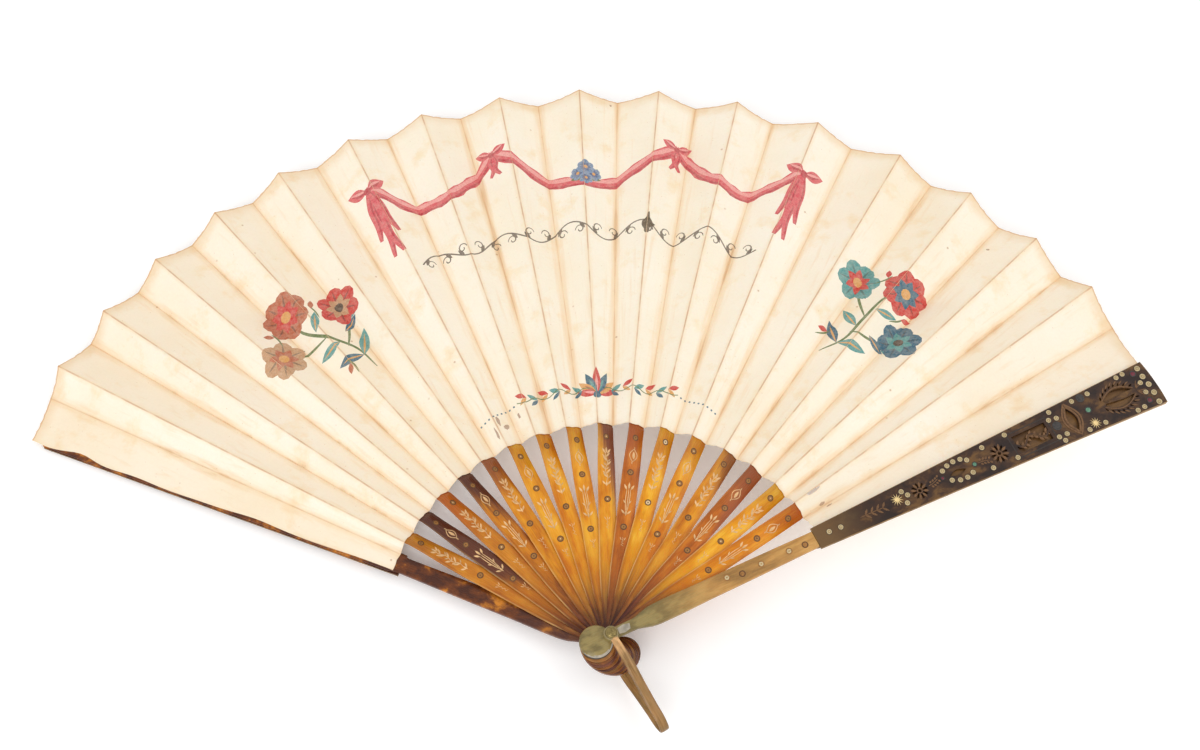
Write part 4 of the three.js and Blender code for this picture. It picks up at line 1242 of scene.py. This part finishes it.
# dents of the back strip's ragged edge: (share of its length, depth, share that it spans)
DENTS = ((0.865, 2.2, 0.05), (0.7, 0.7, 0.07), (0.38, 1.0, 0.07), (1.0, 0.8, 0.03))


def leaf_piece(name, left, right, glued, seed):
    """One pleat: a closed sheet on its two folds, with the painting's outlines in its front face. Also gives each
    point's share across the pleat, and the sheet's size and area."""
    (_, a_left, _, reach_left), (_, a_right, _, reach_right) = left, right
    middle, half = (a_left + a_right) / 2, (a_left - a_right) / 2
    draws = np.random.default_rng(seed)
    phases = draws.uniform(0, 6.28, 8)
    bow_in = draws.uniform(0.35, 0.8)

    def outer_radius(t):
        wear = 0.14 * math.sin(t * 31 + phases[0]) + 0.1 * math.sin(t * 67 + phases[1])
        return mix(reach_left, reach_right, t) - (bow_in + wear) * math.sin(math.pi * t)

    def inner_radius(t):
        return GORGE_RADIUS + 0.25 * math.sin(math.pi * t) * (1 + math.sin(t * 23 + phases[2]))

    def flat(t, radius):
        return (radius * math.sin(half) * (2 * t - 1), radius * math.cos(half))

    def side_place(t, share):
        return flat(t, mix(inner_radius(t), outer_radius(t), share))

    n_out = max(6, int(2 * reach_left * math.sin(half) / RIM_STEP))
    n_in = max(4, int(2 * GORGE_RADIUS * math.sin(half) / RIM_STEP))
    n_side = int((LEAF_RADIUS - GORGE_RADIUS) / LEAF_STEP)
    rim = [flat(i / n_in, inner_radius(i / n_in)) for i in range(n_in)]
    rim += [side_place(1, i / n_side) for i in range(n_side)]
    rim += [flat(1 - i / n_out, outer_radius(1 - i / n_out)) for i in range(n_out)]
    for i in range(n_side):
        share = 1 - i / n_side
        x, y = side_place(0, share)
        if name == "leaf_sheet_end_back":
            x += 0.16 + 0.2 * math.sin(i * 0.37 + phases[3]) * math.sin(i * 0.11 + phases[4])
            x += sum(deep * math.exp(-((share - place) / long) ** 2) for place, deep, long in DENTS)
        rim.append((x, y))
    rim = np.array(rim)
    grid = []
    for radius in np.arange(GORGE_RADIUS + 1.4, LEAF_RADIUS, LEAF_STEP * 0.87):
        count = max(2, int(2 * radius * math.sin(half) / LEAF_STEP))
        shares = ((i + 0.5 * (int(radius) % 2)) / (count + 0.5) for i in range(count + 1))
        grid += [flat(t, radius) for t in shares if FOLD_SHARE < t < 1 - FOLD_SHARE]
    grid = np.array(grid)
    free = np.min(np.linalg.norm(grid[:, None] - rim[None], axis=2), axis=1) > RIM_CLEAR
    coords = [tuple(p) for p in rim] + [tuple(p) for p in grid[inside(grid, rim) & free]]
    edges = [(i, (i + 1) % len(rim)) for i in range(len(rim))]

    # the painting's outlines that reach this pleat
    local = []
    for outline, colour in painting + [(TEAR, None)]:
        r, d = np.hypot(outline[:, 0], outline[:, 1]), middle - np.arctan2(outline[:, 1], outline[:, 0])
        p = np.column_stack([r * np.sin(d), r * np.cos(d)])
        limit = p[:, 1] * math.tan(half) + MARGIN
        if p[:, 1].max() < GORGE_RADIUS - MARGIN or np.all(p[:, 0] > limit) or np.all(p[:, 0] < -limit):
            continue
        local.append((p, colour))
        start, n = len(coords), len(p)
        coords += [tuple(v) for v in p]
        for i in range(n):
            (x0, y0), (x1, y1) = p[i], p[(i + 1) % n]
            bound = max(y0, y1) * math.tan(half) + MARGIN
            if min(x0, x1) <= bound and max(x0, x1) >= -bound:
                edges.append((start + i, start + (i + 1) % n))
    verts, _, faces, _, _, _ = delaunay_2d_cdt([Vector(c) for c in coords], edges, [], 0, MERGED)
    v, f = np.array([tuple(c) for c in verts]), np.array([tuple(t) for t in faces])
    f = f[inside(v[f].mean(1), rim)]
    centres = v[f].mean(1)
    colours = np.zeros((len(f), 4), np.float32)
    colours[:, :3] = BLANK
    keep = np.ones(len(f), bool)
    for outline, colour in local:
        near = np.where(np.all((centres >= outline.min(0)) & (centres <= outline.max(0)), axis=1))[0]
        hit = near[inside(centres[near], outline)]
        if colour is None:
            keep[hit] = False
        else:
            colours[hit] = colour
    f, colours = f[keep], colours[keep]
    used = np.unique(f)
    index = np.full(len(v), -1)
    index[used] = np.arange(len(used))
    v, f = v[used], index[f]

    # from the flat outline to the pleat between its folds
    radius = v[:, 1] / math.cos(half)
    t = np.clip((v[:, 0] / (radius * math.sin(half)) + 1) / 2, 0, 1)
    start, end = on_fold(left, radius), on_fold(right, radius)
    across = end - start
    wide = np.linalg.norm(across, axis=1)
    inset = CLEAR / wide
    spot = start + across * (inset + t * (1 - 2 * inset))[:, None]
    along = (on_fold(left, radius + 1) - start) * (1 - t)[:, None] + (on_fold(right, radius + 1) - end) * t[:, None]
    normal = np.cross(across, along)
    normal /= np.linalg.norm(normal, axis=1)[:, None]
    normal *= np.sign(normal[:, 2])[:, None]
    # a glued pleat stays between its own rib and the next one
    rest, cockle = (0.04, 0.06) if glued else (0.0, 0.34)
    lift = np.sin(np.pi * t) * (rest + cockle * ripple(spot[:, 0], spot[:, 1], seed))
    spot = spot + normal * lift[:, None]
    n = len(v)
    points = np.vstack([spot + normal * PAPER / 2, spot - normal * PAPER / 2])
    if np.cross(v[f[0, 1]] - v[f[0, 0]], v[f[0, 2]] - v[f[0, 0]]) > 0:
        f = f[:, ::-1]
    # the front face looks up: flat's x runs towards the right fold
    front = [tuple(int(i) for i in tri) for tri in f[:, ::-1]]
    sides = dict.fromkeys((tri[i], tri[(i + 1) % 3]) for tri in front for i in range(3))
    border = [(a, b) for a, b in sides if (b, a) not in sides]
    faces = front + [tuple(int(i) for i in tri) for tri in f + n] + [(b, a, a + n, b + n) for a, b in border]
    reach = radius + (LEAF_RADIUS - np.array([outer_radius(s) for s in t])) * (radius - GORGE_RADIUS) / (
        LEAF_RADIUS - GORGE_RADIUS)
    shade = 0.15 + 0.25 * max(0.0, math.cos(middle) * (-1 if glued else 0.6))
    folds = np.column_stack([t * wide, (1 - t) * wide])[:, ::1 if glued else -1]
    plan = np.column_stack([spot[:, :2], reach])
    crease = np.column_stack([folds, np.full(n, shade)])
    obj = mesh_object(name, points, faces, [paper], 50, {"plan": np.vstack([plan, plan]),
                                                         "crease": np.vstack([crease, crease])})
    tint = obj.data.attributes.new("paint", "FLOAT_COLOR", "CORNER")
    unpainted = np.tile(np.array([*BLANK, 0], np.float32), (3 * len(f) + 4 * len(border), 1))
    tint.data.foreach_set("color", np.vstack([np.repeat(colours, 3, 0), unpainted]).ravel())
    a, b, c = (points[f[:, i]] for i in range(3))
    area = np.linalg.norm(np.cross(b - a, c - a), axis=1).sum() / 2
    return obj, np.concatenate([t, t]), float(np.max(wide)), float(area)


def lay_leaf(name, node_name, left, right, glued, seed, bodies):
    obj, share, width, area = leaf_piece(name, left, right, glued, seed)
    if len(bodies) == 1:
        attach(obj, bodies[0])
    else:
        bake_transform(obj)
    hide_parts(node_name)


lay_leaf("leaf_sheet_end_back", "leaf_end_back", back_edge, back_valley, True, 1, ["back_guard"])
for k in range(1, LAST):
    lay_leaf(f"leaf_sheet_glued_{k:02d}", f"leaf_panel_{k:02d}", mountain(k), valley(k), True, 10 + k, [BODIES[k]])
for k in range(LAST):
    lay_leaf(f"leaf_sheet_free_{k:02d}", f"leaf_fold_{k:02d}", valley(k) if k else back_valley,
             mountain(k + 1) if k < LAST - 1 else front_mountain, False, 40 + k, BODIES[k:k + 2])
lay_leaf("leaf_sheet_end_front", "leaf_end_front", front_mountain, front_edge, True, 2, ["front_guard"])

# Floor
FLOOR_HALF, FLOOR_GAP = 4.0, 0.0002
low = cad_box[0][2] - FLOOR_GAP
floor_mesh = bpy.data.meshes.new("floor")
floor_mesh.from_pydata([(x * FLOOR_HALF, y * FLOOR_HALF, low) for x, y in ((-1, -1), (1, -1), (1, 1), (-1, 1))], [],
                       [(0, 1, 2, 3)])
floor_material = Material("floor", 0.9, Base_Color=(0.97, 0.965, 0.97, 1), Emission_Color=(1, 1, 1, 1),
                          Emission_Strength=0.12)
floor_mesh.materials.append(floor_material.made)
placed("floor", floor_mesh)
